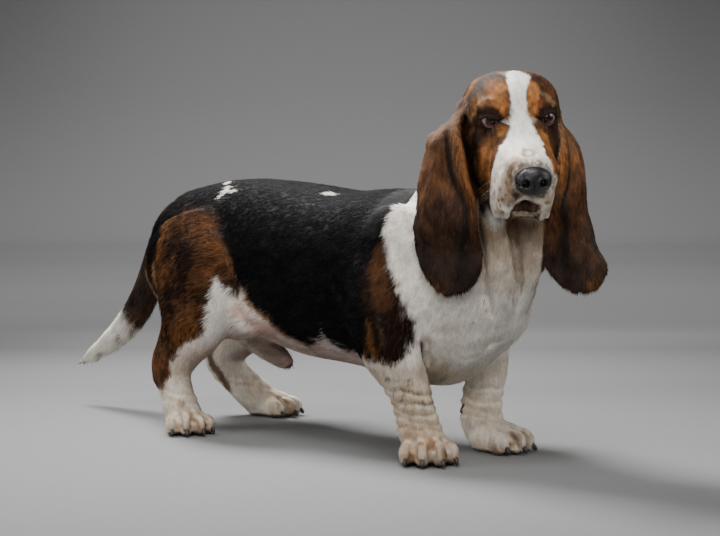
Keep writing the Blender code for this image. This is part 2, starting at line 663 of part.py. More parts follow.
def ear(name, rows, places=EAR_PLACES, step=0.0115):
    """A hanging ear: a sheet folded behind its front edge and rounded at its tip."""
    top = rows[0][0] / 1000
    tip = rows[-1][0] / 1000
    heights = np.linspace(top, tip, int((top - tip) / step) + 1)
    u = np.array(places)
    sheet, outs = ear_sheet(rows, heights, u)
    thick = EAR_THICKNESS / 2 * np.clip(np.sqrt(1 - (2 * u - 1) ** 6), 0.35, 1)
    outs = outs * thick[None, :, None]
    rings = np.concatenate([sheet + outs, (sheet - outs)[:, ::-1]], 1)
    ends = np.stack([rings[0].mean(0), rings[-1].mean(0)])
    faces = tube_faces(len(rings), rings.shape[1])
    obj = mesh_object(name, np.concatenate([rings.reshape(-1, 3), ends]), faces)
    obj.data.transform(EAR_FRAME)
    bm = bmesh.new()
    bm.from_mesh(obj.data)
    bmesh.ops.triangulate(bm, faces=bm.faces[:])
    bmesh.ops.recalc_face_normals(bm, faces=bm.faces[:])
    bm.to_mesh(obj.data)
    bm.free()
    return obj


def box(name, frame, low, high):
    """A box between two corners of a frame."""
    bm = bmesh.new()
    bmesh.ops.create_cube(bm, size=1.0)
    mesh = bpy.data.meshes.new(name)
    bm.to_mesh(mesh)
    bm.free()
    low = Vector(low)
    high = Vector(high)
    size = high - low
    mesh.transform(frame @ Matrix.Translation((low + high) / 2) @ Matrix.Diagonal((*size, 1.0)))
    return link(name, mesh)


def combine(obj, other, operation, solver="EXACT"):
    """Cuts, joins or intersects an object with another."""
    step = obj.modifiers.new("combine", "BOOLEAN")
    step.operation = operation
    step.solver = solver
    step.object = other
    apply_modifiers(obj)


def copy_of(obj, name):
    return link(name, obj.data.copy())


def grown(obj, by):
    """A copy whose surface lies outside the object's own."""
    copy = copy_of(obj, obj.name + "_grown")
    set_points(copy.data, points_of(copy.data) + normals_of(copy.data) * by)
    return copy


def keep_largest(obj):
    """Keeps only the largest closed surface of an object."""
    bm = bmesh.new()
    bm.from_mesh(obj.data)
    bmesh.ops.dissolve_degenerate(bm, dist=MERGE, edges=bm.edges[:])
    bmesh.ops.triangulate(bm, faces=bm.faces[:])
    loose = set(bm.faces)
    islands = []
    while loose:
        island = {loose.pop()}
        front = list(island)
        while front:
            for edge in front.pop().edges:
                for face in edge.link_faces:
                    if face in loose:
                        loose.remove(face)
                        island.add(face)
                        front.append(face)
        islands.append(island)
    islands.sort(key=len)
    bmesh.ops.delete(bm, geom=[face for island in islands[:-1] for face in island], context="FACES")
    bm.to_mesh(obj.data)
    bm.free()


def part_off(whole, name, frame, low, high):
    """Takes the share of the whole that lies in a box, and leaves a gap of GAP round it."""
    inner = box(name + "_cutter", frame, low, high)
    piece = copy_of(whole, name)
    combine(piece, inner, "INTERSECT", "MANIFOLD")
    wider = Vector((GAP, GAP, GAP))
    outer = box(name + "_cutter", frame, Vector(low) - wider, Vector(high) + wider)
    combine(whole, outer, "DIFFERENCE", "MANIFOLD")
    bpy.data.objects.remove(inner)
    bpy.data.objects.remove(outer)
    keep_largest(piece)
    return piece


def axis_frame(at, angle, axis):
    return Matrix.Translation(Vector(at)) @ Matrix.Rotation(angle, 4, axis)


def leg_part(whole, name, side, plane, back, front):
    """Parts off a leg outside a plane that leans in towards the top."""
    y, z, slope = plane
    wide, low, high = LEG_BOX
    frame = axis_frame((0.0, side * y, z), -side * slope, "X")
    inner = min(0, side * wide)
    return part_off(whole, name, frame, (back, inner, low), (front, inner + wide, high))


def part_body(whole):
    """Divides the flesh into paws, legs, tail, head, neck and torso."""
    flat = Matrix.Identity(4)
    pieces = []
    for name in PAWS:
        x, y, yaw, size = PAWS[name]
        word = name.replace("leg_", "_paw_")
        long, wide, low = PAW_BOX
        pieces.append(part_off(whole, word, flat, (x - long, y - wide, low), (x + long, y + wide, PAW_TOP)))
    for side, word in ((-1, "right"), (1, "left")):
        pieces.append(leg_part(whole, "foreleg_" + word, side, FORELEG_PLANE, FORELEG_BACK, FORELEG_FRONT))
        pieces.append(leg_part(whole, "hindleg_" + word, side, THIGH_PLANE, THIGH_BACK, THIGH_FRONT[word]))
    wide, low, high = TAIL_BOX
    pieces.append(part_off(whole, "tail", flat, (-0.62, -wide, low), (TAIL_FRONT, wide, high)))
    back, slope = HEAD_PLANE
    head = HEAD @ axis_frame((back, 0, 0), slope, "Y")
    pieces.append(part_off(whole, "head", head, (-0.12, -0.12, 0.0), (0.28, 0.12, 0.25)))
    x, z, slope = NECK_PLANE
    neck = axis_frame((x, 0, z), slope, "Y")
    pieces.append(part_off(whole, "neck", neck, (-0.12, -0.15, 0.0), (0.32, 0.15, 0.25)))
    keep_largest(whole)
    whole.name = "torso"
    return [whole] + pieces


def claw_frames(name):
    """Where each claw of a paw grows, its own X axis pointing out and down."""
    reach, lift = CLAW_PLACE
    for x, y, z, length, width, height in toe_places():
        splay = math.atan2(y, TOE_FAN)
        out = length * reach
        tip = Vector((x + math.cos(splay) * out, y + math.sin(splay) * out, z * lift))
        yield paw_frame(name) @ turned_frame(tip, splay, CLAW_PITCH)


def add_claws(paw, name):
    """Joins all the claws of a paw to it at once."""
    claws = bpy.data.collections.new(name + "_claws")
    rows = [(x, 0, z, *(share * CLAW_RADIUS,) * 3) for x, z, share in CLAW]
    for frame in claw_frames(name):
        claws.objects.link(loft("claw", rows, frame, sides=7, step=0.0060))
    step = paw.modifiers.new("claws", "BOOLEAN")
    step.operation = "UNION"
    step.solver = "EXACT"
    step.operand_type = "COLLECTION"
    step.collection = claws
    apply_modifiers(paw)
    for claw in list(claws.objects):
        bpy.data.objects.remove(claw)
    bpy.data.collections.remove(claws)
    keep_largest(paw)


def head_details(whole):
    """Opens the lids, sinks the eyes and the nose into the flesh, and returns them."""
    pieces = []
    for side, word in ((-1, "right"), (1, "left")):
        x, y, z = EYE_CENTRE
        centre = Vector((x, side * y, z))
        gaze = HEAD @ turned_frame(centre, side * EYE_OUTWARD)
        front = EYE_RADIUS + 0.0015
        opening = blob("opening", (front, 0, -0.001), EYE_OPENING, frame=gaze, detail=2)
        sag = blob("sag", (front, 0, -EYE_SAG_DROP), EYE_SAG, frame=gaze, detail=2)
        for cutter in (opening, sag):
            combine(whole, cutter, "DIFFERENCE")
            bpy.data.objects.remove(cutter)
        socket = blob("socket", centre, (EYE_RADIUS + GAP,) * 3, frame=HEAD)
        combine(whole, socket, "DIFFERENCE")
        bpy.data.objects.remove(socket)
        pieces.append(blob("eye_" + word, centre, (EYE_RADIUS - 0.0001,) * 3, frame=HEAD))
    nose = blob("nose", NOSE_CENTRE, NOSE_RADII, frame=HEAD)
    seat = grown(nose, GAP + 0.0001)
    combine(whole, seat, "DIFFERENCE")
    bpy.data.objects.remove(seat)
    for side in (-1, 1):
        x, y, z = NOSTRIL
        hole = blob("nostril", (x, side * y, z), NOSTRIL_RADII, side * 30, 0, HEAD, detail=2)
        combine(nose, hole, "DIFFERENCE")
        bpy.data.objects.remove(hole)
    keep_largest(nose)
    pieces.append(nose)
    return pieces


FINISHES = {
    "eye": ((0.030, 0.014, 0.008), 0.08),
    "nose": ((0.012, 0.011, 0.012), 0.35),
    "ear": ((0.055, 0.020, 0.010), 0.80),
    "tail": ((0.20, 0.17, 0.15), 0.85),
    "torso": ((0.022, 0.018, 0.016), 0.85),
    "neck": ((0.62, 0.57, 0.50), 0.88),
    "head": ((0.28, 0.13, 0.06), 0.85),
    "hindleg": ((0.16, 0.08, 0.045), 0.85),
    "foreleg": ((0.60, 0.54, 0.47), 0.88),
    "fore_paw": ((0.55, 0.46, 0.38), 0.88),
    "hind_paw": ((0.55, 0.46, 0.38), 0.88),
}


def finish(obj):
    """Gives a piece the colour and roughness of its part of the coat."""
    key = next(word for word in FINISHES if obj.name.startswith(word))
    colour, roughness = FINISHES[key]
    material = bpy.data.materials.new(obj.name + "_finish")
    material.use_nodes = True
    shader = material.node_tree.nodes["Principled BSDF"]
    shader.inputs["Base Color"].default_value = (*colour, 1.0)
    shader.inputs["Roughness"].default_value = roughness
    shader.inputs["Metallic"].default_value = 0.0
    obj.data.materials.clear()
    obj.data.materials.append(material)
    obj.data.shade_smooth()


def collect(pieces):
    """Puts the pieces into the dog's collection, with the dog's box centred on the origin."""
    dog = bpy.data.collections.new("basset_hound")
    bpy.context.scene.collection.children.link(dog)
    for piece in pieces:
        piece.data.transform(Matrix.Translation(STAND_SHIFT))
        finish(piece)
        dog.objects.link(piece)
        bpy.context.scene.collection.objects.unlink(piece)


def clear_scene():
    for obj in list(bpy.data.objects):
        bpy.data.objects.remove(obj)


def main():
    clear_scene()
    whole = flesh()
    details = head_details(whole)
    floor = box("floor_cutter", Matrix.Identity(4), (-0.8, -0.4, -0.1), (0.8, 0.4, 0.0))
    combine(whole, floor, "DIFFERENCE")
    skin = grown(whole, GAP + 0.0002)
    ears = [ear("ear_right", EAR_RIGHT), ear("ear_left", EAR_LEFT)]
    for piece in ears:
        combine(piece, skin, "DIFFERENCE")
        keep_largest(piece)
    bpy.data.objects.remove(skin)
    pieces = part_body(whole)
    for name in PAWS:
        word = name.replace("leg_", "_paw_")
        paw = next(piece for piece in pieces if piece.name == word)
        add_claws(paw, name)
        combine(paw, floor, "DIFFERENCE")
        keep_largest(paw)
    bpy.data.objects.remove(floor)
    collect(pieces + details + ears)


if __name__ == "__main__":
    main()
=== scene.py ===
"""A standing basset hound, its head turned to its right, in its coat.

The skin is shaped from the same sections as the solids that it covers, with finer folds, lids and
lips. Short tufts lie over it along the lie of the coat. The dog faces +X, its left is +Y, up is +Z.
"""

import json
import math

import bmesh
import bpy
import numpy as np
from mathutils import Matrix, Vector
from mathutils.kdtree import KDTree

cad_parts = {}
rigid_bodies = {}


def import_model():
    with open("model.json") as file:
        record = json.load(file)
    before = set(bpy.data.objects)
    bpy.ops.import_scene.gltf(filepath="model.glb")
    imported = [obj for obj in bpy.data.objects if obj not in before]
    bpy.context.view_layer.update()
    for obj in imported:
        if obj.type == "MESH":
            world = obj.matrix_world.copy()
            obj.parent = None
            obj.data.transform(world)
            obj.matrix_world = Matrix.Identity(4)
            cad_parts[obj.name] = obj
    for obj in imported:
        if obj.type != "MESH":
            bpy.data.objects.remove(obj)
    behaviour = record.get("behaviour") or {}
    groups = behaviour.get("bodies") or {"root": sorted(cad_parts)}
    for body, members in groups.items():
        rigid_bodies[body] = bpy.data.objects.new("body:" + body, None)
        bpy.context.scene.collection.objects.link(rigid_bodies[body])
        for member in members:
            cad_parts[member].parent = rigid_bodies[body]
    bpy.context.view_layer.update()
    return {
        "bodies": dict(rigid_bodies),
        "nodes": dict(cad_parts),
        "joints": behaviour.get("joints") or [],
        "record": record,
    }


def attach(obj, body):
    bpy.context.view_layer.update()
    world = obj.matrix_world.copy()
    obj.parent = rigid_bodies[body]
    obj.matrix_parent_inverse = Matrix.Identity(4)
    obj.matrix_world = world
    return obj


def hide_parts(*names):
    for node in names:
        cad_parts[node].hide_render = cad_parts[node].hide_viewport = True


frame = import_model()

# The sections are in the place where they were drawn; this moves them to the dog's stand.
STAND_SHIFT = Vector((0.0707, 0.0016, 0.0))
SKIN_VOXEL = 0.0023
SEED = 7

KEPT_STIFFNESS = 1000.0
PAW_TOP = 0.045

# The head's own frame starts midway between the eyes: forward, left, up.
HEAD_AT = Vector((0.338, -0.056, 0.452))
HEAD_YAW = math.radians(-44)
HEAD_PITCH = math.radians(20)
HEAD_ROLL = math.radians(2.5)
# The loose flews and lips hang nearer to upright than the rolled skull.
HANG_ROLL = math.radians(-2.5)

EYE_RADIUS = 0.0125
EYE_CENTRE = (-0.0065, 0.0350, -0.001)
EYE_OUTWARD = math.radians(24)
NOSE_CENTRE = (0.1085, 0.0, -0.0410)
NOSE_RADII = (0.0155, 0.0230, 0.0197)
EAR_THICKNESS = 0.0058
EAR_KEYS = (0, 0.13, 0.28, 0.60, 0.84, 1)

# Torso sections: distance forward, middle height, half width, reach up, reach down, squareness.
TORSO = [
    (-0.360, 0.280, 0.012, 0.018, 0.020, 2.0),
    (-0.350, 0.268, 0.045, 0.048, 0.058, 2.0),
    (-0.322, 0.256, 0.074, 0.080, 0.086, 2.1),
    (-0.260, 0.255, 0.089, 0.103, 0.098, 2.2),
    (-0.180, 0.252, 0.093, 0.117, 0.106, 2.2),
    (-0.110, 0.248, 0.100, 0.119, 0.118, 2.2),
    (-0.040, 0.242, 0.110, 0.119, 0.127, 2.2),
    (0.030, 0.240, 0.117, 0.115, 0.130, 2.2),
    (0.090, 0.240, 0.117, 0.119, 0.137, 2.2),
    (0.150, 0.238, 0.112, 0.120, 0.145, 2.1),
    (0.205, 0.234, 0.102, 0.110, 0.140, 2.1),
    (0.248, 0.232, 0.081, 0.095, 0.108, 2.0),
    (0.280, 0.232, 0.058, 0.075, 0.076, 2.0),
    (0.300, 0.234, 0.034, 0.046, 0.046, 2.0),
    (0.310, 0.235, 0.008, 0.010, 0.010, 2.0),
]
# Neck sections from the chest up into the skull: place, half width, throat reach, nape reach.
NECK = [
    (0.175, 0.000, 0.235, 0.104, 0.104, 0.104),
    (0.208, 0.000, 0.285, 0.096, 0.098, 0.104),
    (0.230, -0.002, 0.335, 0.083, 0.084, 0.094),
    (0.246, -0.006, 0.380, 0.067, 0.072, 0.086),
    (0.264, -0.012, 0.420, 0.058, 0.058, 0.078),
    (0.280, -0.018, 0.448, 0.046, 0.040, 0.046),
    (0.288, -0.022, 0.462, 0.024, 0.020, 0.026),
]
# Loose skin of the throat hangs in two folds from the jaw to the chest: place and thickness.
DEWLAP_RIGHT = [
    (0.308, -0.068, 0.362, 0.020, 0.024, 0.020),
    (0.306, -0.064, 0.322, 0.019, 0.021, 0.020),
    (0.306, -0.054, 0.282, 0.018, 0.020, 0.020),
    (0.302, -0.042, 0.235, 0.018, 0.018, 0.020),
    (0.286, -0.032, 0.190, 0.014, 0.014, 0.018),
]
DEWLAP_LEFT = [
    (0.332, -0.036, 0.362, 0.019, 0.024, 0.020),
    (0.332, -0.024, 0.322, 0.018, 0.021, 0.020),
    (0.327, -0.012, 0.282, 0.017, 0.019, 0.020),
    (0.313, -0.001, 0.235, 0.016, 0.016, 0.020),
    (0.288, 0.006, 0.190, 0.013, 0.013, 0.018),
]
TAIL = [
    (-0.285, 0.000, 0.296, 0.036, 0.034, 0.036),
    (-0.318, 0.000, 0.304, 0.034, 0.032, 0.034),
    (-0.344, 0.000, 0.293, 0.030, 0.029, 0.029),
    (-0.364, -0.002, 0.266, 0.025, 0.027, 0.025),
    (-0.384, -0.004, 0.225, 0.022, 0.026, 0.024),
    (-0.411, -0.004, 0.180, 0.020, 0.026, 0.023),
    (-0.450, -0.002, 0.137, 0.018, 0.026, 0.022),
    (-0.500, 0.000, 0.103, 0.014, 0.021, 0.016),
    (-0.545, 0.000, 0.077, 0.008, 0.012, 0.009),
    (-0.567, 0.000, 0.064, 0.0015, 0.002, 0.0015),
]
SHEATH = [
    (-0.215, 0.0, 0.150, 0.020, 0.022, 0.020),
    (-0.170, 0.0, 0.128, 0.020, 0.022, 0.020),
    (-0.130, 0.0, 0.110, 0.017, 0.018, 0.017),
    (-0.105, 0.0, 0.101, 0.011, 0.010, 0.012),
    (-0.097, 0.0, 0.100, 0.004, 0.004, 0.004),
]
# Swellings on either side of the body: centre, radii, yaw and pitch in degrees.
BODY_SIDES = {
    "shoulder_form": ((0.148, 0.080, 0.262), (0.060, 0.040, 0.085), 0, 18),
    "flank_form": ((-0.120, 0.072, 0.180), (0.070, 0.026, 0.040), 0, -20),
}
# Leg sections: place, half width, reach forward, reach back.
LEGS = {
    "foreleg_right": [
        (0.140, -0.080, 0.255, 0.044, 0.062, 0.060),
        (0.150, -0.098, 0.200, 0.043, 0.056, 0.058),
        (0.165, -0.102, 0.155, 0.037, 0.044, 0.050),
        (0.182, -0.098, 0.118, 0.031, 0.034, 0.037),
        (0.192, -0.091, 0.088, 0.028, 0.031, 0.031),
        (0.196, -0.086, 0.062, 0.028, 0.031, 0.030),
        (0.200, -0.082, 0.040, 0.030, 0.032, 0.030),
        (0.205, -0.079, 0.018, 0.029, 0.032, 0.026),
    ],
    "foreleg_left": [
        (0.145, 0.080, 0.255, 0.044, 0.060, 0.060),
        (0.155, 0.098, 0.200, 0.043, 0.054, 0.058),
        (0.170, 0.098, 0.155, 0.037, 0.042, 0.050),
        (0.184, 0.086, 0.118, 0.031, 0.034, 0.037),
        (0.190, 0.074, 0.088, 0.028, 0.031, 0.032),
        (0.192, 0.064, 0.062, 0.028, 0.031, 0.031),
        (0.198, 0.058, 0.040, 0.030, 0.032, 0.031),
        (0.208, 0.055, 0.018, 0.029, 0.032, 0.026),
    ],
    "hindleg_right": [
        (-0.245, -0.055, 0.300, 0.045, 0.070, 0.060),
        (-0.225, -0.078, 0.250, 0.048, 0.086, 0.068),
        (-0.200, -0.096, 0.200, 0.044, 0.080, 0.070),
        (-0.198, -0.106, 0.160, 0.038, 0.058, 0.060),
        (-0.220, -0.109, 0.122, 0.030, 0.038, 0.044),
        (-0.238, -0.108, 0.088, 0.025, 0.030, 0.041),
        (-0.233, -0.105, 0.058, 0.024, 0.027, 0.028),
        (-0.227, -0.103, 0.034, 0.027, 0.030, 0.028),
        (-0.220, -0.102, 0.018, 0.027, 0.030, 0.026),
    ],
    "hindleg_left": [
        (-0.245, 0.055, 0.300, 0.045, 0.070, 0.060),
        (-0.235, 0.074, 0.250, 0.048, 0.086, 0.066),
        (-0.228, 0.080, 0.200, 0.044, 0.078, 0.066),
        (-0.244, 0.074, 0.160, 0.038, 0.058, 0.056),
        (-0.276, 0.062, 0.124, 0.030, 0.042, 0.042),
        (-0.296, 0.056, 0.092, 0.025, 0.032, 0.038),
        (-0.280, 0.068, 0.060, 0.024, 0.028, 0.028),
        (-0.262, 0.084, 0.036, 0.027, 0.030, 0.028),
        (-0.250, 0.098, 0.018, 0.027, 0.030, 0.026),
    ],
}
# Paws: place on the ground, direction in degrees, size.
PAWS = {
    "foreleg_right": (0.208, -0.080, -42, 1.0),
    "foreleg_left": (0.222, 0.056, 8, 1.0),
    "hindleg_right": (-0.216, -0.104, -28, 0.90),
    "hindleg_left": (-0.242, 0.104, 20, 0.90),
}
# Toes in the paw's frame, on one side: place, then length, width and height from the middle.
TOES = [
    (0.0320, 0.0110, 0.0175, 0.0225, 0.0122, 0.0185),
    (0.0180, 0.0280, 0.0165, 0.0215, 0.0120, 0.0172),
]
PAW_FORMS = {
    "paw_form": ((0.000, 0, 0.020), (0.040, 0.0345, 0.026)),
    "heel_form": ((-0.012, 0, 0.014), (0.026, 0.026, 0.018)),
}
TOE_FAN = 0.090
TOE_PITCH = 8

CLAW_RADIUS = 0.0031
CLAW_PLACE = (0.72, 0.62)

# Skull and muzzle in the head's frame: forward, middle height, half width, up, down, squareness.
SKULL = [
    (-0.146, -0.004, 0.008, 0.010, 0.012, 2.0),
    (-0.136, -0.008, 0.032, 0.026, 0.034, 2.0),
    (-0.110, -0.012, 0.053, 0.0405, 0.052, 2.4),
    (-0.080, -0.014, 0.063, 0.0525, 0.062, 2.6),
    (-0.048, -0.014, 0.063, 0.0580, 0.068, 2.6),
    (-0.020, -0.016, 0.056, 0.051, 0.066, 2.2),
    (0.004, -0.022, 0.043, 0.030, 0.056, 2.2),
    (0.028, -0.032, 0.037, 0.028, 0.046, 2.3),
    (0.062, -0.038, 0.0355, 0.029, 0.040, 2.5),
    (0.090, -0.042, 0.034, 0.029, 0.032, 2.5),
    (0.107, -0.042, 0.027, 0.025, 0.024, 2.2),
    (0.115, -0.042, 0.010, 0.012, 0.012, 2.0),
]
# Swellings on either side of the head, on its left: centre, radii, yaw and pitch in degrees.
HEAD_SIDES = {
    "cheek_form": ((-0.030, 0.042, -0.046), (0.056, 0.022, 0.042), -10, 6),
    "brow_form": ((-0.016, 0.031, 0.012), (0.024, 0.021, 0.0155), 25, 14),
    "lid_form": ((-0.0065, 0.035, -0.002), (0.0159, 0.0159, 0.0156), 0, 0),
    "bag_form": ((0.000, 0.035, -0.019), (0.016, 0.012, 0.012), 30, 0),
}
HANGING_SIDES = {
    "flew_form": ((0.052, 0.0262, -0.067), (0.052, 0.0140, 0.049), -3, 4),
    "lip_form": ((0.087, 0.0205, -0.066), (0.026, 0.0165, 0.0400), 0, 0),
    "jowl_form": ((0.002, 0.035, -0.060), (0.044, 0.018, 0.034), -8, 8),
}
HANGING_MIDDLE = {
    "chin_form": ((0.066, 0, -0.088), (0.034, 0.0200, 0.016), 0, 4),
    "throat_form": ((-0.025, 0, -0.084), (0.066, 0.038, 0.040), 0, 22),
    "occiput_form": ((-0.122, 0, 0.006), (0.020, 0.018, 0.018), 0, 0),
}

# Ears, in millimetres from the eyes, turned with the head: height, then places forward and left
# of the front edge, the crest of the front fold, the valley behind it, the widest part of the
# leaf, the groove behind that and the back edge.
EAR_RIGHT = [
    (36, -56, -40, -58, -45, -62, -50, -68, -52, -75, -48, -82, -40),
    (26, -50, -49, -52, -55, -58, -60, -68, -62, -78, -57, -88, -47),
    (12, -40, -60, -42, -64, -50, -66, -66, -67.5, -82, -62, -96, -53),
    (-1, -32, -68, -30, -73, -42, -76, -62, -77, -84, -72, -100, -64),
    (-10, -26, -71.5, -20, -77, -34, -81, -60, -88, -86, -84, -103, -76),
    (-20, -20, -72, -10, -78, -38, -84, -44, -96, -78, -100, -106, -89),
    (-40, -10, -68.5, 4, -76, -31, -83.5, -38, -100, -74, -106, -108, -97),
    (-62, -2, -65.5, 13, -74, -27, -81, -33, -103, -70, -112, -107, -103),
    (-84, 6, -62, 18, -69, -17, -76, -28, -105.5, -66, -117, -98, -111),
    (-106, 12, -57.5, 18, -61.5, 0, -67.5, -22, -106, -54, -119, -76, -119),
    (-136, 11, -52, 12, -59, 8, -66, -16, -100, -42, -118.5, -57, -127),
    (-166, 2, -44, -2, -57, -9, -71, -27.5, -97.5, -45.5, -114, -62, -126),
    (-193, 0, -44, -3.5, -56, -8.5, -69, -23.5, -94.5, -38.5, -111, -50, -121),
    (-226, -6, -50, -8.5, -60, -12.5, -70.5, -24, -91.5, -35, -105.5, -44, -114),
]
EAR_LEFT = [
    (26, -50, 46, -52, 49, -58, 52, -68, 57.5, -78, 53, -88, 44),
    (12, -42, 54.5, -44, 57.5, -52, 60, -66, 62.5, -80, 60, -94, 53),
    (-4, -34, 56.5, -34, 59.5, -44, 62, -62, 66, -82, 66.5, -97, 63),
    (-16, -28, 55.5, -22, 60, -38, 64.5, -58, 75, -84, 79, -98, 79),
    (-30, -23, 53, -11, 60.5, -41, 67.5, -46, 80, -72, 88, -97, 89),
    (-45, -18, 51.5, -3, 60, -38, 68, -43, 83.5, -70, 93.5, -94, 98),
    (-62, -14, 49.5, 3, 59.5, -34, 68, -39, 86, -68, 97, -91, 103),
    (-84, -12, 47, 3, 56, -26, 65, -35, 88, -64, 99, -86, 104),
    (-106, -14, 45, -4, 50, -14, 56, -42, 90, -64, 100, -80, 106),
    (-136, -24, 40, -25, 52.5, -29, 66, -42, 89.5, -57, 103, -70, 109),
    (-166, -31, 38, -30, 51, -31, 65, -38.5, 91.5, -49.5, 109, -60, 118),
    (-193, -36, 41, -33.5, 54, -32.5, 68, -36, 97, -43, 118, -50, 131),
    (-226, -38, 56, -36, 65.5, -35, 76.5, -36.5, 100, -40.5, 117, -45, 128),
]
EAR_ROUND_FROM = -0.166


def turned_frame(origin, yaw, pitch=0.0, roll=0.0):
    turn = Matrix.Rotation(yaw, 4, "Z") @ Matrix.Rotation(pitch, 4, "Y")
    return Matrix.Translation(origin) @ turn @ Matrix.Rotation(roll, 4, "X")


HEAD = turned_frame(HEAD_AT, HEAD_YAW, HEAD_PITCH, HEAD_ROLL)
HANG = turned_frame(HEAD_AT, HEAD_YAW, HEAD_PITCH, HANG_ROLL)
EAR_FRAME = turned_frame(HEAD_AT, HEAD_YAW)


def smooth_rows(keys, rows, at):
    """Follows rows of numbers, given at the keys, as one smooth curve."""
    keys = np.asarray(keys, float)
    rows = np.asarray(rows, float)
    slope = np.gradient(rows, keys, axis=0)
    i = np.clip(np.searchsorted(keys, at, side="right") - 1, 0, len(keys) - 2)
    span = (keys[i + 1] - keys[i])[:, None]
    t = (at - keys[i])[:, None] / span
    t2 = t * t
    t3 = t2 * t
    return (
        (2 * t3 - 3 * t2 + 1) * rows[i]
        + (t3 - 2 * t2 + t) * span * slope[i]
        + (3 * t2 - 2 * t3) * rows[i + 1]
        + (t3 - t2) * span * slope[i + 1]
    )


def link(name, mesh):
    obj = bpy.data.objects.new(name, mesh)
    bpy.context.scene.collection.objects.link(obj)
    return obj


def mesh_object(name, points, faces):
    mesh = bpy.data.meshes.new(name)
    mesh.from_pydata([tuple(p) for p in points], [], faces)
    return link(name, mesh)


def tube_faces(rings, sides):
    """Faces round a closed row of rings, with a point at either end after the rings."""
    faces = []
    for i in range(rings - 1):
        for j in range(sides):
            k = (j + 1) % sides
            faces.append((i * sides + j, i * sides + k, (i + 1) * sides + k, (i + 1) * sides + j))
    first = rings * sides
    end = (rings - 1) * sides
    for j in range(sides):
        k = (j + 1) % sides
        faces.append((first, k, j))
        faces.append((first + 1, end + j, end + k))
    return faces


def loft(name, stations, frame=None, sides=28, step=0.006):
    """Joins oval sections along a smooth path in the frame's own X-Z plane or near it.

    A station is a place, the half width along Y, the reaches to either side of the path
    across the width, and a squareness: 2 is an ellipse.
    """
    rows = np.array([s if len(s) == 7 else (*s, 2.0) for s in stations], float)
    along = np.r_[0, np.cumsum(np.linalg.norm(np.diff(rows[:, :3], axis=0), axis=1))]
    count = max(len(rows) * 2, int(along[-1] / step))
    at = np.linspace(0, along[-1], count)
    rings = smooth_rows(along, rows, at)
    rings[:, 3:6] = np.maximum(rings[:, 3:6], 0.001)
    tangent = np.gradient(rings[:, :3], at, axis=0)
    tangent /= np.linalg.norm(tangent, axis=1)[:, None]
    side = np.array([0.0, 1.0, 0.0])
    across = side - (tangent @ side)[:, None] * tangent
    across /= np.linalg.norm(across, axis=1)[:, None]
    normal = np.cross(tangent, across)
    angle = np.linspace(0, 2 * math.pi, sides, endpoint=False)
    c = np.cos(angle)
    s = np.sin(angle)
    points = []
    for ring, a, n in zip(rings, across, normal):
        power = 2 / ring[6]
        wide = ring[3] * np.sign(c) * np.abs(c) ** power
        high = np.where(s > 0, ring[4], ring[5]) * np.sign(s) * np.abs(s) ** power
        points.append(ring[:3] + np.outer(wide, a) + np.outer(high, n))
    points = np.concatenate(points + [rings[:1, :3], rings[-1:, :3]])
    obj = mesh_object(name, points, tube_faces(count, sides))
    if frame is not None:
        obj.data.transform(frame)
    return obj


def blob(name, centre, radii, yaw=0.0, pitch=0.0, frame=None, detail=3):
    """An ellipsoid; yaw and pitch are in degrees."""
    bm = bmesh.new()
    bmesh.ops.create_icosphere(bm, subdivisions=detail, radius=1.0)
    mesh = bpy.data.meshes.new(name)
    bm.to_mesh(mesh)
    bm.free()
    place = turned_frame(Vector(centre), math.radians(yaw), math.radians(pitch))
    mesh.transform((frame or Matrix.Identity(4)) @ place @ Matrix.Diagonal((*radii, 1.0)))
    return link(name, mesh)


def both_sides(table, frame=None):
    """Swellings of a table on the left and, mirrored, on the right."""
    forms = []
    for name, ((x, y, z), radii, yaw, pitch) in table.items():
        for side in (-1, 1):
            forms.append(blob(name, (x, side * y, z), radii, side * yaw, pitch, frame))
    return forms


def torso_forms():
    rows = [(x, 0, z, wide, up, down, square) for x, z, wide, up, down, square in TORSO]
    forms = [loft("torso_form", rows), loft("neck_form", NECK), loft("tail_form", TAIL, sides=20)]
    forms.append(loft("dewlap_form", DEWLAP_RIGHT, sides=16))
    forms.append(loft("dewlap_form", DEWLAP_LEFT, sides=16))
    forms.append(loft("sheath_form", SHEATH, sides=20))
    return forms + both_sides(BODY_SIDES)


def paw_frame(name):
    x, y, yaw, size = PAWS[name]
    return turned_frame(Vector((x, y, 0)), math.radians(yaw)) @ Matrix.Scale(size, 4)


def toe_places():
    for x, y, z, length, width, height in TOES:
        for side in (-1, 1):
            yield x, side * y, z, length, width, height


def leg_forms():
    forms = []
    for name, rows in LEGS.items():
        forms.append(loft(name + "_form", rows, sides=24))
        frame = paw_frame(name)
        for part, (centre, radii) in PAW_FORMS.items():
            forms.append(blob(part, centre, radii, frame=frame))
        for x, y, z, length, width, height in toe_places():
            splay = math.degrees(math.atan2(y, TOE_FAN))
            forms.append(blob("toe_form", (x, y, z), (length, width, height), splay, TOE_PITCH, frame))
    return forms


def head_forms():
    rows = [(x, 0, z, wide, up, down, square) for x, z, wide, up, down, square in SKULL]
    forms = [loft("skull_form", rows, HEAD, step=0.005)]
    for name, (centre, radii, yaw, pitch) in HANGING_MIDDLE.items():
        forms.append(blob(name, centre, radii, yaw, pitch, HANG))
    return forms + both_sides(HEAD_SIDES, HEAD) + both_sides(HANGING_SIDES, HANG)


def evaluated_mesh(obj):
    graph = bpy.context.evaluated_depsgraph_get()
    return bpy.data.meshes.new_from_object(obj.evaluated_get(graph))


def apply_modifiers(obj):
    mesh = evaluated_mesh(obj)
    obj.modifiers.clear()
    obj.data = mesh


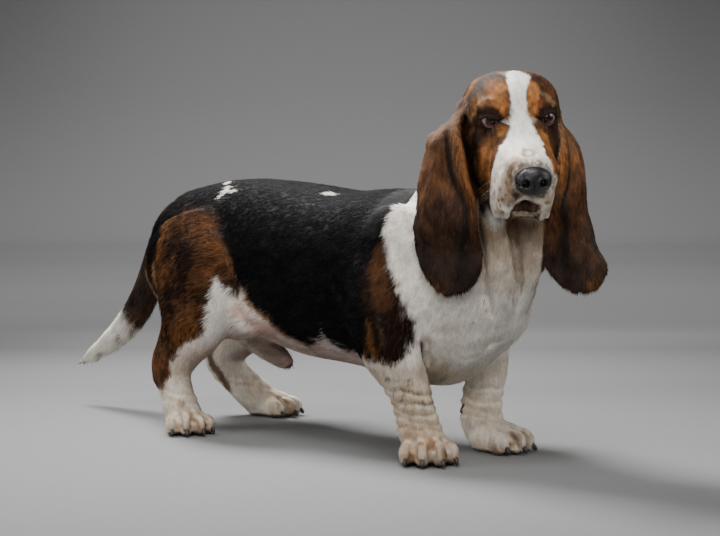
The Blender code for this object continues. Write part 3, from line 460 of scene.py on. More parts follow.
def fused(name, forms, voxel):
    """One closed surface round all the forms."""
    bm = bmesh.new()
    for form in forms:
        bm.from_mesh(form.data)
        bpy.data.objects.remove(form)
    mesh = bpy.data.meshes.new(name)
    bm.to_mesh(mesh)
    bm.free()
    obj = link(name, mesh)
    remesh = obj.modifiers.new("surface", "REMESH")
    remesh.mode = "VOXEL"
    remesh.voxel_size = voxel
    apply_modifiers(obj)
    return obj


def points_of(mesh):
    co = np.empty(len(mesh.vertices) * 3)
    mesh.vertices.foreach_get("co", co)
    return co.reshape(-1, 3)


def normals_of(mesh):
    no = np.empty(len(mesh.vertices) * 3)
    mesh.vertex_normals.foreach_get("vector", no)
    return no.reshape(-1, 3)


def set_points(mesh, co):
    mesh.vertices.foreach_set("co", co.ravel())
    mesh.update()


def in_frame(frame, co):
    """The points' coordinates in a frame."""
    inverse = np.array(frame.inverted())
    return co @ inverse[:3, :3].T + inverse[:3, 3]


def smooth(mesh, rounds, weight):
    """Pulls each point towards the middle of its neighbours, by its weight."""
    co = points_of(mesh)
    ends = np.empty(len(mesh.edges) * 2, int)
    mesh.edges.foreach_get("vertices", ends)
    a, b = ends.reshape(-1, 2).T
    count = np.bincount(a, minlength=len(co)) + np.bincount(b, minlength=len(co))
    for _ in range(rounds):
        total = np.stack([
            np.bincount(a, co[b, k], len(co)) + np.bincount(b, co[a, k], len(co))
            for k in range(3)
        ], 1)
        co += weight[:, None] * (total / count[:, None] - co)
    set_points(mesh, co)


def near_line(co, line):
    """Each point's distance from a bent line, and how far along it, from 0 to 1."""
    line = np.asarray(line, float)
    lengths = np.linalg.norm(np.diff(line, axis=0), axis=1)
    starts = np.r_[0, np.cumsum(lengths)]
    best = np.full(len(co), 9.0)
    place = np.zeros(len(co))
    for a, b, start, length in zip(line[:-1], line[1:], starts, lengths):
        t = np.clip((co - a) @ (b - a) / length**2, 0, 1)
        away = np.linalg.norm(co - a - t[:, None] * (b - a), axis=1)
        closer = away < best
        best = np.where(closer, away, best)
        place = np.where(closer, start + t * length, place)
    return best, place / starts[-1]


def crease(co, line, width, depth):
    """How far each point sinks into a fold along a line; the fold fades at both ends."""
    away, place = near_line(co, line)
    ends = np.clip(np.minimum(place, 1 - place) / 0.15, 0, 1)
    return depth * (0.25 + 0.75 * ends) * np.exp(-((away / width) ** 2))


def mirrored(line):
    return [(x, -y, z) for x, y, z in line]


# The groove under the nose, then the edge of each upper lip round the chin.
MOUTH_CREASES = [
    ([(0.114, 0.0, -0.058), (0.113, 0.0, -0.068)], 0.0016, 0.0040),
    ([(0.112, 0.002, -0.069), (0.106, 0.014, -0.085), (0.090, 0.019, -0.102)], 0.0030, 0.0100),
    ([(0.092, 0.018, -0.104), (0.060, 0.020, -0.112), (0.020, 0.028, -0.110), (-0.020, 0.036, -0.096)],
     0.0050, 0.0080),
]
HEAD_CREASES = [
    # Pouch under the eye, and the brow over it.
    ([(0.016, 0.020, -0.012), (0.014, 0.034, -0.028), (-0.004, 0.050, -0.032)], 0.0034, 0.0024),
    ([(0.012, 0.014, 0.010), (-0.002, 0.028, 0.034), (-0.024, 0.046, 0.028)], 0.0045, 0.0022),
    ([(0.004, 0.010, 0.030), (-0.014, 0.018, 0.046), (-0.034, 0.026, 0.052)], 0.0050, 0.0012),
    ([(0.014, 0.020, 0.004), (0.006, 0.032, 0.015), (-0.010, 0.047, 0.011)], 0.0030, 0.0016),
    # Loose skin down the cheek.
    ([(-0.018, 0.054, -0.012), (-0.008, 0.060, -0.050), (0.010, 0.050, -0.090)], 0.0050, 0.0030),
    ([(0.020, 0.040, -0.020), (0.034, 0.041, -0.050), (0.040, 0.042, -0.080)], 0.0040, 0.0014),
]
BODY_CREASES = [
    # Between and beside the folds of the throat.
    ([(0.330, -0.068, 0.345), (0.322, -0.046, 0.300), (0.312, -0.024, 0.250), (0.298, -0.012, 0.200)],
     0.0050, 0.0165),
    ([(0.340, -0.020, 0.345), (0.334, -0.006, 0.300), (0.318, 0.012, 0.250), (0.296, 0.020, 0.210)],
     0.0050, 0.0145),
    ([(0.300, -0.104, 0.330), (0.290, -0.090, 0.285), (0.285, -0.068, 0.240), (0.284, -0.050, 0.205)],
     0.0060, 0.0100),
    ([(0.262, -0.100, 0.300), (0.264, -0.092, 0.250), (0.262, -0.084, 0.205)], 0.0080, 0.0040),
    ([(0.292, 0.000, 0.185), (0.276, -0.030, 0.150), (0.262, -0.050, 0.130)], 0.0060, 0.0030),
    # Round the top of each foreleg, in front and behind.
    ([(0.212, -0.088, 0.165), (0.207, -0.078, 0.145), (0.203, -0.066, 0.118)], 0.0050, 0.0075),
    ([(0.212, 0.088, 0.165), (0.207, 0.078, 0.145), (0.203, 0.066, 0.118)], 0.0050, 0.0075),
    ([(0.238, -0.100, 0.200), (0.236, -0.076, 0.150), (0.216, -0.052, 0.112)], 0.0080, 0.0070),
    ([(0.240, 0.100, 0.200), (0.238, 0.076, 0.150), (0.218, 0.052, 0.112)], 0.0080, 0.0070),
    ([(0.085, -0.120, 0.230), (0.098, -0.116, 0.170), (0.116, -0.098, 0.125)], 0.0090, 0.0050),
    ([(0.085, 0.120, 0.230), (0.098, 0.116, 0.170), (0.116, 0.098, 0.125)], 0.0090, 0.0050),
    # The fold from the flank to the stifle.
    ([(-0.060, -0.090, 0.150), (-0.105, -0.100, 0.165), (-0.130, -0.106, 0.210)], 0.0090, 0.0040),
    ([(-0.060, 0.090, 0.150), (-0.115, 0.096, 0.165), (-0.145, 0.100, 0.210)], 0.0090, 0.0040),
]
# Rings of loose skin on the legs: leg, heights of the creases, depth.
LEG_RINGS = {
    "foreleg_right": ((0.050, 0.060, 0.071, 0.084, 0.097), 0.0018),
    "foreleg_left": ((0.051, 0.059, 0.072, 0.088), 0.0018),
    "hindleg_right": ((0.050, 0.062), 0.0009),
    "hindleg_left": ((0.052, 0.064), 0.0009),
}


def carve(mesh):
    """Sinks the folds of the loose skin and the gaps between the toes."""
    co = points_of(mesh)
    sink = np.zeros(len(co))
    for frame_of, creases in ((HEAD, HEAD_CREASES), (HANG, MOUTH_CREASES)):
        head_co = in_frame(frame_of, co)
        for line, width, depth in creases:
            sink = np.maximum(sink, crease(head_co, line, width, depth))
            sink = np.maximum(sink, crease(head_co, mirrored(line), width, depth))
    for line, width, depth in BODY_CREASES:
        sink = np.maximum(sink, crease(co, line, width, depth))
    for name, (levels, depth) in LEG_RINGS.items():
        centre = np.array([(z, x, y) for x, y, z, *_ in LEGS[name]])[::-1]
        middle = smooth_rows(centre[:, 0], centre[:, 1:], np.clip(co[:, 2], 0.018, 0.25))
        off = co[:, :2] - middle
        near = np.linalg.norm(off, axis=1) < 0.055
        turn = np.arctan2(off[:, 1], off[:, 0])
        for k, level in enumerate(levels):
            wander = 0.0022 * np.sin(2 * turn + 1.7 * k) + 0.0012 * np.sin(5 * turn + k)
            tilt = off[:, 0] * 0.12 + wander
            sink += near * depth * np.exp(-(((co[:, 2] - level + tilt) / 0.0036) ** 2))
    for name in PAWS:
        paw_co = in_frame(paw_frame(name), co)
        for side in (-1, 0, 1):
            gap = [(0.022, side * 0.0180, 0.036),
                   (0.048, side * 0.0230, 0.022), (0.050, side * 0.0240, 0.0)]
            if side:
                gap = [(x - 0.008, y, z) for x, y, z in gap]
            sink = np.maximum(sink, crease(paw_co, gap, 0.0034, 0.0080))
    set_points(mesh, co - normals_of(mesh) * sink[:, None])


def thin_out(obj, keep, faces):
    """Collapses faces away from the kept points until the object has so many left."""
    group = obj.vertex_groups.new(name="kept")
    group.add([int(i) for i in np.flatnonzero(keep)], 1.0, "REPLACE")
    now = sum(len(face.vertices) - 2 for face in obj.data.polygons)
    thin = obj.modifiers.new("thin", "DECIMATE")
    thin.ratio = faces / now
    thin.vertex_group = "kept"
    thin.invert_vertex_group = True
    thin.vertex_group_factor = KEPT_STIFFNESS
    thin.use_collapse_triangulate = True
    apply_modifiers(obj)
    obj.vertex_groups.clear()


def on_head(co):
    local = in_frame(HEAD, co)
    return (local[:, 0] + 0.135) * 0.58 + local[:, 2] * 0.81 > 0.004


def on_paw(co):
    return co[:, 2] < PAW_TOP + 0.004


def on_body(co):
    return ~(on_head(co) | on_paw(co))


def ear_sheet(rows, heights, u):
    """The middle of an ear's sheet and the way out of it, by height and by place across."""
    rows = np.array(rows, float)[::-1] / 1000
    side = np.sign(rows[0, 2])
    sheet = []
    outs = []
    for height, row in zip(heights, smooth_rows(rows[:, 0], rows[:, 1:], heights)):
        line = smooth_rows(EAR_KEYS, row.reshape(-1, 2), u)
        end = max(0.0, (EAR_ROUND_FROM - height) / (EAR_ROUND_FROM - rows[0, 0]))
        line = line.mean(0) + (line - line.mean(0)) * (1 - (0.985 * end) ** 2.6) ** (1 / 2.6)
        along = np.gradient(line, u, axis=0)
        out = np.stack([along[:, 1], -along[:, 0]], 1) * side
        out /= np.linalg.norm(out, axis=1)[:, None]
        sheet.append(np.column_stack([line, np.full(len(u), height)]))
        outs.append(np.column_stack([out, np.zeros(len(u))]))
    return np.array(sheet), np.array(outs)


CAMERA_AT = Vector((1.7436, -2.0313, 0.4300)) + STAND_SHIFT
CAMERA_AIM = Vector((-0.64395, 0.76192, -0.06931))

# The floor bends up into a wall that stands well beyond any view round the dog.
WALL_START = -4.80
WALL_CURVE = 0.60
WALL_TOP = 4.0
FLOOR_FRONT = 5.0
FLOOR_HALF_WIDTH = 5.5
FLOOR_PALE = 0.212
# The floor's tones on the way back to the wall, painted lighter farther back where the lamps light it less:
# nearer place, farther place, tone.
FLOOR_TONES = [
    (-0.50, -1.12, 0.340), (-1.12, -1.40, 0.58), (-1.40, -1.80, 0.575), (-1.80, -2.13, 0.515),
    (-2.13, -2.97, 0.44), (-2.97, -3.78, 0.475), (-3.78, -4.46, 0.62), (-4.46, -4.90, 0.70),
]
WALL_HIGH = 0.50

# Where a lid opens, in the eye's own frame: half width, height of the upper and lower edge.
LID_RIGHT = (0.0105, 0.0045, 0.0078)
LID_LEFT = (0.0098, 0.0066, 0.0080)
EYE_SUNK = 0.0015
# A claw along its length: distance out, height and share of its radius.
CLAW_ROWS = [(-0.006, 0, 1.0), (0.002, 0.0005, 1.08), (0.0065, 0.0004, 1.0),
             (0.0096, -0.0004, 0.80), (0.0112, -0.0012, 0.42)]
CLAW_DROP = math.radians(44)
DEWCLAW_HEIGHT = 0.060
LID_PROUD = 0.0022
# The slit at the nostril's side, seen from in front: across and up.
NOSTRIL_SLIT = [(0, 0.0120, -0.002), (0, 0.0175, -0.0045), (0, 0.0205, -0.0020)]

# Faces that the skin keeps on the body, on the paws and on the head.
BODY_FACES = 52000
PAW_FACES = 34000
HEAD_FACES = 95000
# The lowest that the skin and the tufts reach, and how deep a tuft's root sits in the skin.
SKIN_FLOOR = 0.0003
TUFT_FLOOR = 0.0004
ROOT_DEPTH = 0.0004
# Tufts to a square metre: on the body, the head and the ears, and what legs, paws and tail add.
BODY_TUFTS = 200000.0
HEAD_TUFTS = 650000.0
EAR_TUFTS = 420000.0
LEG_TUFTS = 260000.0
PAW_TUFTS = 300000.0
TAIL_TUFTS = 150000.0
WHISKER_ROWS = 2
WHISKERS_IN_ROW = 3
WHISKER_RADIUS = 0.00015
WHISKER_SAG = 0.010

# Black saddle, brown thigh and brown shoulder patch seen from the side: forward and up.
SADDLE = [
    (0.180, 0.420), (0.171, 0.370), (0.163, 0.329), (0.166, 0.305), (0.151, 0.287), (0.143, 0.262),
    (0.147, 0.232), (0.152, 0.193), (0.152, 0.168), (0.150, 0.146), (0.124, 0.138), (0.080, 0.136),
    (0.062, 0.145), (0.050, 0.158), (0.045, 0.168), (0.038, 0.158), (0.024, 0.146), (0.001, 0.139),
    (-0.010, 0.146), (-0.032, 0.153), (-0.052, 0.166), (-0.071, 0.178), (-0.090, 0.196),
    (-0.103, 0.214), (-0.119, 0.233), (-0.127, 0.254), (-0.141, 0.275), (-0.159, 0.299),
    (-0.187, 0.322), (-0.235, 0.335), (-0.274, 0.334), (-0.343, 0.321), (-0.400, 0.330),
    (-0.400, 0.420),
]
THIGH = [
    (-0.420, 0.335), (-0.343, 0.330), (-0.274, 0.340), (-0.235, 0.340), (-0.187, 0.328),
    (-0.159, 0.305), (-0.141, 0.281), (-0.127, 0.260), (-0.117, 0.238), (-0.108, 0.216),
    (-0.121, 0.203), (-0.132, 0.215), (-0.141, 0.228), (-0.146, 0.200), (-0.148, 0.176),
    (-0.157, 0.151), (-0.177, 0.137), (-0.198, 0.127), (-0.210, 0.112), (-0.219, 0.098),
    (-0.231, 0.080), (-0.249, 0.062), (-0.281, 0.060), (-0.350, 0.100), (-0.420, 0.200),
]
SHOULDER_PATCH = [
    (0.162, 0.300), (0.168, 0.292), (0.176, 0.263), (0.186, 0.238), (0.195, 0.214), (0.202, 0.189),
    (0.205, 0.169), (0.203, 0.149), (0.197, 0.137), (0.182, 0.130), (0.168, 0.133), (0.146, 0.138),
    (0.138, 0.168), (0.138, 0.193), (0.133, 0.232), (0.130, 0.262), (0.140, 0.290),
]
# Places by side view again: where the thigh is brightest and darkest, and the ticks on the foreleg.
THIGH_BRIGHT = [
    (-0.267, 0.314), (-0.256, 0.296), (-0.256, 0.265), (-0.237, 0.237), (-0.182, 0.303),
    (-0.159, 0.269), (-0.157, 0.248), (-0.180, 0.169), (-0.190, 0.147), (-0.228, 0.101),
]
THIGH_DARK = [(-0.204, 0.270), (-0.182, 0.251), (-0.196, 0.232),
              (-0.235, 0.275), (-0.290, 0.270), (-0.215, 0.200)]
TICKS = [
    (0.183, 0.117), (0.190, 0.116), (0.196, 0.115), (0.207, 0.116), (0.208, 0.108), (0.199, 0.103),
    (0.201, 0.097), (0.207, 0.100), (0.213, 0.097), (0.197, 0.089), (0.210, 0.084), (0.202, 0.080),
    (0.216, 0.084), (0.219, 0.080), (0.190, 0.104), (0.186, 0.095),
]
PATCH_STREAK = [(0.159, 0, 0.184), (0.161, 0, 0.165), (0.167, 0, 0.141)]
# A painted highlight: a thin grey line along the fold at the elbow.
ELBOW_FOLD_HIGHLIGHT = [(0.171, 0, 0.202), (0.178, 0, 0.181), (0.181, 0, 0.159)]
PATCH_TOP = [(0.160, 0, 0.281), (0.162, 0, 0.255), (0.171, 0, 0.230), (0.178, 0, 0.215)]
RUMP_BLACK = [
    (-0.200, -0.020, 0.352), (-0.247, -0.053, 0.343), (-0.283, -0.069, 0.318), (-0.335, -0.050, 0.280),
    (-0.326, -0.072, 0.250),
]
RUMP_FRINGE = [(-0.306, -0.081, 0.243), (-0.309, -0.076, 0.216), (-0.305, -0.070, 0.190)]
HIND_STRIPE = [
    (-0.305, 0.036, 0.130), (-0.304, 0.034, 0.105), (-0.301, 0.034, 0.084), (-0.293, 0.036, 0.072),
    (-0.286, 0.042, 0.060), (-0.283, 0.048, 0.047),
]
HOCK_STRIPE = [(-0.262, -0.128, 0.115), (-0.252, -0.130, 0.092), (-0.243, -0.130, 0.073)]
SADDLE_SPOTS = [
    ((-0.181, -0.047, 0.355), (0.006, 0.011, 0.012)), ((-0.184, -0.060, 0.344), (0.004, 0.007, 0.009)),
    ((-0.166, -0.052, 0.352), (0.008, 0.004, 0.005)), ((-0.201, -0.026, 0.362), (0.004, 0.008, 0.005)),
    ((0.008, -0.037, 0.350), (0.010, 0.006, 0.007)),
]
# The white blaze, in the frame that the flews hang in: distance forward, then the right edge and
# the left edge. Below it the white muzzle begins on its side at a height and distance forward.
BLAZE = [
    (-0.062, -0.004, 0.006), (-0.048, -0.013, 0.014), (-0.038, -0.0125, 0.016), (-0.021, -0.0135, 0.010),
    (-0.003, -0.0120, 0.006), (0.010, -0.0108, 0.009), (0.027, -0.0150, 0.0145), (0.040, -0.0215, 0.0180),
    (0.054, -0.032, 0.020), (0.062, -0.040, 0.020), (0.078, -0.060, 0.020), (0.101, -0.060, 0.022),
    (0.107, -0.060, 0.027), (0.114, -0.060, 0.060),
]
MUZZLE_WHITE = [
    (-0.115, 0.060), (-0.106, 0.067), (-0.080, 0.080), (-0.056, 0.074), (-0.040, 0.064), (-0.020, 0.058),
]
MUZZLE_LEFT_WHITE = [(-0.110, 0.074), (-0.060, 0.090), (-0.036, 0.102), (-0.026, 0.112)]

# Coat colours.
WHITE = np.array((0.90, 0.865, 0.81))
CREAM = np.array((0.60, 0.48, 0.35))
GREY = np.array((0.33, 0.30, 0.27))
PALE_TAN = np.array((0.52, 0.33, 0.17))
TAN = np.array((0.43, 0.175, 0.052))
RED_BROWN = np.array((0.17, 0.050, 0.018))
BROWN = np.array((0.130, 0.056, 0.024))
DARK_BROWN = np.array((0.036, 0.018, 0.011))
BLACK = np.array((0.0085, 0.0080, 0.0080))
PINK = np.array((0.52, 0.29, 0.24))
LIP = np.array((0.050, 0.030, 0.026))
HAW = np.array((0.27, 0.13, 0.13))
PAD = np.array((0.025, 0.020, 0.019))
GREY_BROWN = np.array((0.085, 0.062, 0.042))
LEATHER = np.array((0.010, 0.0095, 0.011))
EYE_WHITE = np.array((0.36, 0.24, 0.20))
IRIS = np.array((0.034, 0.013, 0.006))
PUPIL = np.array((0.002, 0.002, 0.002))

# Marks on the face, in the frame that the flews hang in: colour, half width, strength and line.
FACE_MARKS = [
    (GREY_BROWN * 0.6, 0.0120, 0.8,
     [(-0.058, -0.036, 0.034), (-0.038, -0.041, 0.030), (-0.038, -0.055, 0.010)]),
    (TAN * 0.8, 0.0060, 0.7,
     [(-0.075, -0.042, 0.030), (-0.060, -0.051, 0.018), (-0.052, -0.057, 0.000)]),
    (GREY_BROWN * 0.45, 0.0140, 0.85,
     [(-0.058, -0.018, 0.046), (-0.032, -0.020, 0.040), (-0.040, -0.040, 0.028)]),
    (TAN * 0.35, 0.0150, 0.8,
     [(0.020, -0.040, -0.026), (0.030, -0.042, -0.060), (0.030, -0.042, -0.080)]),
    (TAN * 0.75, 0.0052, 0.8,
     [(0.018, -0.043, -0.038), (0.025, -0.046, -0.051), (0.028, -0.046, -0.072)]),
    (TAN * 0.65, 0.0050, 0.8,
     [(0.030, -0.038, -0.036), (0.042, -0.040, -0.052), (0.058, -0.039, -0.064)]),
    # Dark brown down the right cheek by the ear, in two lines: dark hair, partly painted shade between the
    # cheek and the ear.
    (DARK_BROWN * 0.6, 0.0100, 0.9,
     [(-0.006, -0.052, -0.028), (-0.010, -0.053, -0.062), (-0.007, -0.047, -0.088),
      (0.020, -0.044, -0.100)]),
    (DARK_BROWN * 0.5, 0.0120, 0.9,
     [(0.014, -0.044, -0.104), (0.036, -0.037, -0.110), (0.040, -0.035, -0.120)]),
    (TAN * 0.75, 0.0095, 0.9,
     [(0.030, 0.026, -0.012), (0.050, 0.030, -0.016), (0.080, 0.030, -0.020),
      (0.105, 0.030, -0.026)]),
    (TAN * 0.38, 0.0120, 0.8,
     [(0.020, 0.040, -0.026), (0.050, 0.040, -0.040), (0.085, 0.038, -0.050)]),
    # Dark brown down the left cheek by the ear: dark hair, partly painted shade between the cheek and the
    # ear.
    (DARK_BROWN * 0.6, 0.0120, 0.9,
     [(0.006, 0.051, -0.014), (0.010, 0.053, -0.040), (0.020, 0.050, -0.080)]),
    (TAN * 0.40, 0.0150, 0.85,
     [(-0.030, -0.030, 0.034), (-0.014, -0.036, 0.024), (-0.022, -0.050, 0.006)]),
    (TAN * 0.80, 0.0090, 0.90,
     [(-0.020, -0.021, 0.032), (-0.010, -0.026, 0.027), (0.002, -0.026, 0.014)]),
    (TAN * 0.60, 0.0040, 0.80,
     [(-0.010, -0.038, 0.021), (-0.016, -0.049, 0.010), (-0.022, -0.054, -0.006)]),
    (TAN * 0.75, 0.0065, 0.9,
     [(0.000, -0.020, 0.016), (0.012, -0.020, 0.004), (0.026, -0.026, -0.010)]),
    # Pale tan arc along the right brow: pale hair, partly a painted highlight where the brow catches the
    # light.
    (PALE_TAN * 0.50, 0.0044, 0.30,
     [(-0.014, -0.018, 0.033), (-0.008, -0.026, 0.025), (-0.012, -0.038, 0.022),
      (-0.014, -0.049, 0.015), (-0.024, -0.054, 0.002), (-0.027, -0.057, -0.011),
      (-0.021, -0.055, -0.025)]),
    (TAN * 0.30, 0.0050, 0.8,
     [(-0.004, -0.044, 0.016), (-0.014, -0.051, 0.004)]),
    (TAN, 0.0080, 0.95,
     [(-0.022, 0.017, 0.036), (-0.006, 0.017, 0.029), (0.006, 0.016, 0.014),
      (0.016, 0.020, 0.003)]),
    # Pale tan arc along the left brow: pale hair, partly a painted highlight where the brow catches the
    # light.
    (PALE_TAN * 0.50, 0.0050, 0.40,
     [(-0.016, 0.016, 0.036), (-0.013, 0.024, 0.034), (-0.014, 0.033, 0.029),
      (-0.004, 0.042, 0.022), (-0.018, 0.053, 0.005), (-0.021, 0.057, -0.009)]),
    (RED_BROWN * 0.8, 0.0070, 0.9,
     [(0.000, 0.026, 0.022), (0.004, 0.028, 0.016)]),
    (DARK_BROWN * 0.8, 0.0060, 0.80,
     [(-0.006, -0.050, 0.003), (0.001, -0.042, 0.007), (0.007, -0.033, 0.006),
      (0.011, -0.026, 0.000), (0.020, -0.027, -0.009), (0.012, -0.038, -0.017),
      (-0.009, -0.049, -0.020), (-0.018, -0.054, -0.010), (-0.006, -0.050, 0.003)]),
    (BLACK * 1.3, 0.0036, 0.85,
     [(-0.003, -0.048, 0.001), (0.003, -0.040, 0.006), (0.009, -0.032, 0.005),
      (0.015, -0.027, -0.003), (0.019, -0.028, -0.009)]),
    # Painted shade at the inner corner of each eye, dimming a ledge under the brow that the light catches.
    (DARK_BROWN, 0.0052, 0.85,
     [(0.008, -0.029, 0.001), (0.018, -0.0185, 0.000)]),
    (DARK_BROWN, 0.0046, 0.85,
     [(0.010, 0.027, 0.004), (0.016, 0.0185, 0.003)]),
    (DARK_BROWN * 0.5, 0.0042, 0.85,
     [(0.006, 0.026, 0.013), (0.005, 0.033, 0.016), (0.003, 0.042, 0.010), (-0.001, 0.048, -0.003),
      (0.012, 0.042, -0.010), (0.024, 0.029, -0.008), (0.019, 0.023, 0.000),
      (0.006, 0.026, 0.013)]),
]
MUZZLE_MARKS = [
    (CREAM * (0.46, 0.37, 0.29), 0.0125, 0.65,
     [(0.100, -0.024, -0.024), (0.104, -0.030, -0.046), (0.108, -0.026, -0.066)]),
    (CREAM * (0.80, 0.70, 0.62), 0.0120, 0.35,
     [(0.100, 0.020, -0.085), (0.106, 0.022, -0.070)]),
    (CREAM * (0.34, 0.25, 0.17), 0.0042, 0.75,
     [(0.101, -0.023, -0.022), (0.102, -0.026, -0.034), (0.105, -0.028, -0.046),
      (0.111, -0.022, -0.058)]),
    (BLACK * 2.5, 0.0032, 0.75,
     [(0.112, -0.018, -0.060), (0.110, -0.010, -0.066), (0.111, 0.006, -0.068),
      (0.113, 0.018, -0.060)]),
]
# Small brown flecks where the whiskers grow.
FLECKS = [
    (0.099, -0.034, -0.059), (0.108, -0.029, -0.062), (0.096, -0.034, -0.074), (0.110, -0.024, -0.075),
    (0.098, -0.017, -0.085), (0.102, -0.028, -0.088), (0.110, -0.015, -0.067), (0.100, -0.032, -0.080),
    (0.104, -0.030, -0.070), (0.096, -0.030, -0.092), (0.104, 0.028, -0.066), (0.102, 0.030, -0.078),
    (0.110, 0.024, -0.070),
]
PAW_STAINS = [
    (0.225, -0.115, 0.034), (0.234, -0.099, 0.033), (0.218, -0.122, 0.017), (0.235, -0.106, 0.023),
    (0.256, -0.102, 0.022), (0.221, 0.033, 0.004), (0.245, 0.023, 0.008), (-0.209, -0.119, 0.047),
]


def ear_grid(rows, across, step):
    """An ear's sheet on an even grid: places across, points and the way out of it."""
    top = rows[0][0] / 1000
    tip = rows[-1][0] / 1000
    heights = np.linspace(top, tip, int((top - tip) / step) + 1)
    u = np.linspace(0, 1, across)
    return (u, *ear_sheet(rows, heights, u))


def ear(name, rows):
    """A hanging ear: a sheet folded behind its front edge and rounded at its tip."""
    u, sheet, outs = ear_grid(rows, 41, 0.004)
    thick = (EAR_THICKNESS / 2 * np.clip(np.sqrt(1 - (2 * u - 1) ** 6), 0.35, 1))[None, :, None]
    rings = np.concatenate([sheet + thick * outs, (sheet - thick * outs)[:, ::-1]], 1)
    ends = np.stack([rings[0].mean(0), rings[-1].mean(0)])
    obj = mesh_object(name, np.concatenate([rings.reshape(-1, 3), ends]),
                      tube_faces(len(rings), rings.shape[1]))
    obj.data.transform(EAR_FRAME)
    bm = bmesh.new()
    bm.from_mesh(obj.data)
    bmesh.ops.recalc_face_normals(bm, faces=bm.faces[:])
    bm.to_mesh(obj.data)
    bm.free()
    return obj


def smoothstep(low, high, x):
    t = np.clip((x - low) / (high - low), 0, 1)
    return t * t * (3 - 2 * t)


def noise(co, size, seed=0.0):
    """Smooth noise between -1 and 1 with features of the given size."""
    q = co / size + 100.0
    cell = np.floor(q)
    f = q - cell
    f = f * f * (3 - 2 * f)
    total = np.zeros(len(co))
    for dx in (0, 1):
        for dy in (0, 1):
            for dz in (0, 1):
                corner = (cell + (dx, dy, dz)) @ np.array((127.1, 311.7, 74.7)) + seed * 17.3
                value = np.modf(np.abs(np.sin(corner)) * 43758.5453)[0]
                share = np.abs(1 - dx - f[:, 0]) * np.abs(1 - dy - f[:, 1]) * np.abs(1 - dz - f[:, 2])
                total += value * share
    return total * 2 - 1


def inside_outline(points, outline):
    """How deep points lie inside a closed outline, less than 0 outside it."""
    corners = np.array(outline, float)
    best = np.full(len(points), 9.0)
    within = np.zeros(len(points), bool)
    for a, b in zip(corners, np.roll(corners, -1, axis=0)):
        edge = b - a
        t = np.clip((points - a) @ edge / (edge @ edge), 0, 1)
        best = np.minimum(best, np.linalg.norm(points - a - t[:, None] * edge, axis=1))
        crosses = (a[1] > points[:, 1]) != (b[1] > points[:, 1])
        where = a[0] + (points[:, 1] - a[1]) * edge[0] / (edge[1] if edge[1] else 1e-9)
        within ^= crosses & (points[:, 0] < where)
    return np.where(within, best, -best)


class EarFinder:
    """Finds how near points are to an ear, and their place on it."""

    def __init__(self):
        spots = []
        self.facts = []
        for side, rows in ((-1, EAR_RIGHT), (1, EAR_LEFT)):
            u, sheet, outs = ear_grid(rows, 31, 0.005)
            for i, row in enumerate(sheet):
                for j, point in enumerate(row):
                    out = EAR_FRAME.to_3x3() @ Vector(outs[i, j])
                    spots.append(EAR_FRAME @ Vector(point))
                    self.facts.append((side, u[j], i / (len(sheet) - 1), *out))
        self.tree = KDTree(len(spots))
        for i, spot in enumerate(spots):
            self.tree.insert(spot, i)
        self.tree.balance()
        self.facts = np.array(self.facts)

    def find(self, co):
        """Distance, side, place across and down, and the way out, for each point."""
        away = np.full(len(co), 9.0)
        facts = np.zeros((len(co), 6))
        head_co = in_frame(EAR_FRAME, co)
        close = (np.abs(head_co[:, 1]) > 0.03) & (head_co[:, 2] > -0.25) & (np.abs(head_co[:, 0]) < 0.13)
        for i in np.flatnonzero(close):
            _, index, distance = self.tree.find(co[i])
            away[i] = distance
            facts[i] = self.facts[index]
        return away, facts


EARS = EarFinder()


def gaze_frame(side):
    """The frame of one eye: -1 for the right one and 1 for the left one."""
    x, y, z = EYE_CENTRE
    return HEAD @ turned_frame(Vector((x, side * y, z)), side * EYE_OUTWARD)


def from_eye(head_co):
    """How far points in the head's frame are from the nearer eye's centre."""
    x, y, z = EYE_CENTRE
    return np.linalg.norm(np.stack([head_co[:, 0] - x, np.abs(head_co[:, 1]) - y, head_co[:, 2] - z], 1),
                          axis=1)


def refine(mesh, near):
    """Splits every face between the points that are near into four."""
    bm = bmesh.new()
    bm.from_mesh(mesh)
    edges = [edge for edge in bm.edges if near[edge.verts[0].index] and near[edge.verts[1].index]]
    bmesh.ops.subdivide_edges(bm, edges=edges, cuts=1, use_grid_fill=True)
    bm.to_mesh(mesh)
    bm.free()
    mesh.update()


def open_lids(co):
    """Draws the skin round each eye into lids, and sinks it behind the eye between them."""
    for side, (half, up, low) in ((-1, LID_RIGHT), (1, LID_LEFT)):
        gaze = gaze_frame(side)
        p = in_frame(gaze, co)
        r = np.linalg.norm(p, axis=1)
        near = (r < 0.034) & (p[:, 0] > 0)
        h = p[:, 1] * side * EYE_RADIUS / r
        v = p[:, 2] * EYE_RADIUS / r
        across = np.clip(np.abs(h) / half, 0, 1)
        top = up * (1 - across**2) + 0.0006
        bottom = -low * (1 - across**1.5) - 0.0012 * across
        inside = np.minimum(np.minimum(top - v, v - bottom), (half - np.abs(h)) * 0.8)
        rim = EYE_RADIUS + LID_PROUD * np.where(v < 0, 0.75, 1.0)
        lid = r + (rim - r) * np.exp(-((np.maximum(-inside, 0) / 0.0045) ** 2))
        sunk = EYE_RADIUS - EYE_SUNK
        wanted = lid + (sunk - lid) * smoothstep(-0.0003, 0.0007, inside)
        wanted = np.where(near, wanted, r)
        co[:] = np.where(near[:, None],
                         co + (co - np.array(gaze.translation)) * ((wanted / r - 1))[:, None], co)
    return co


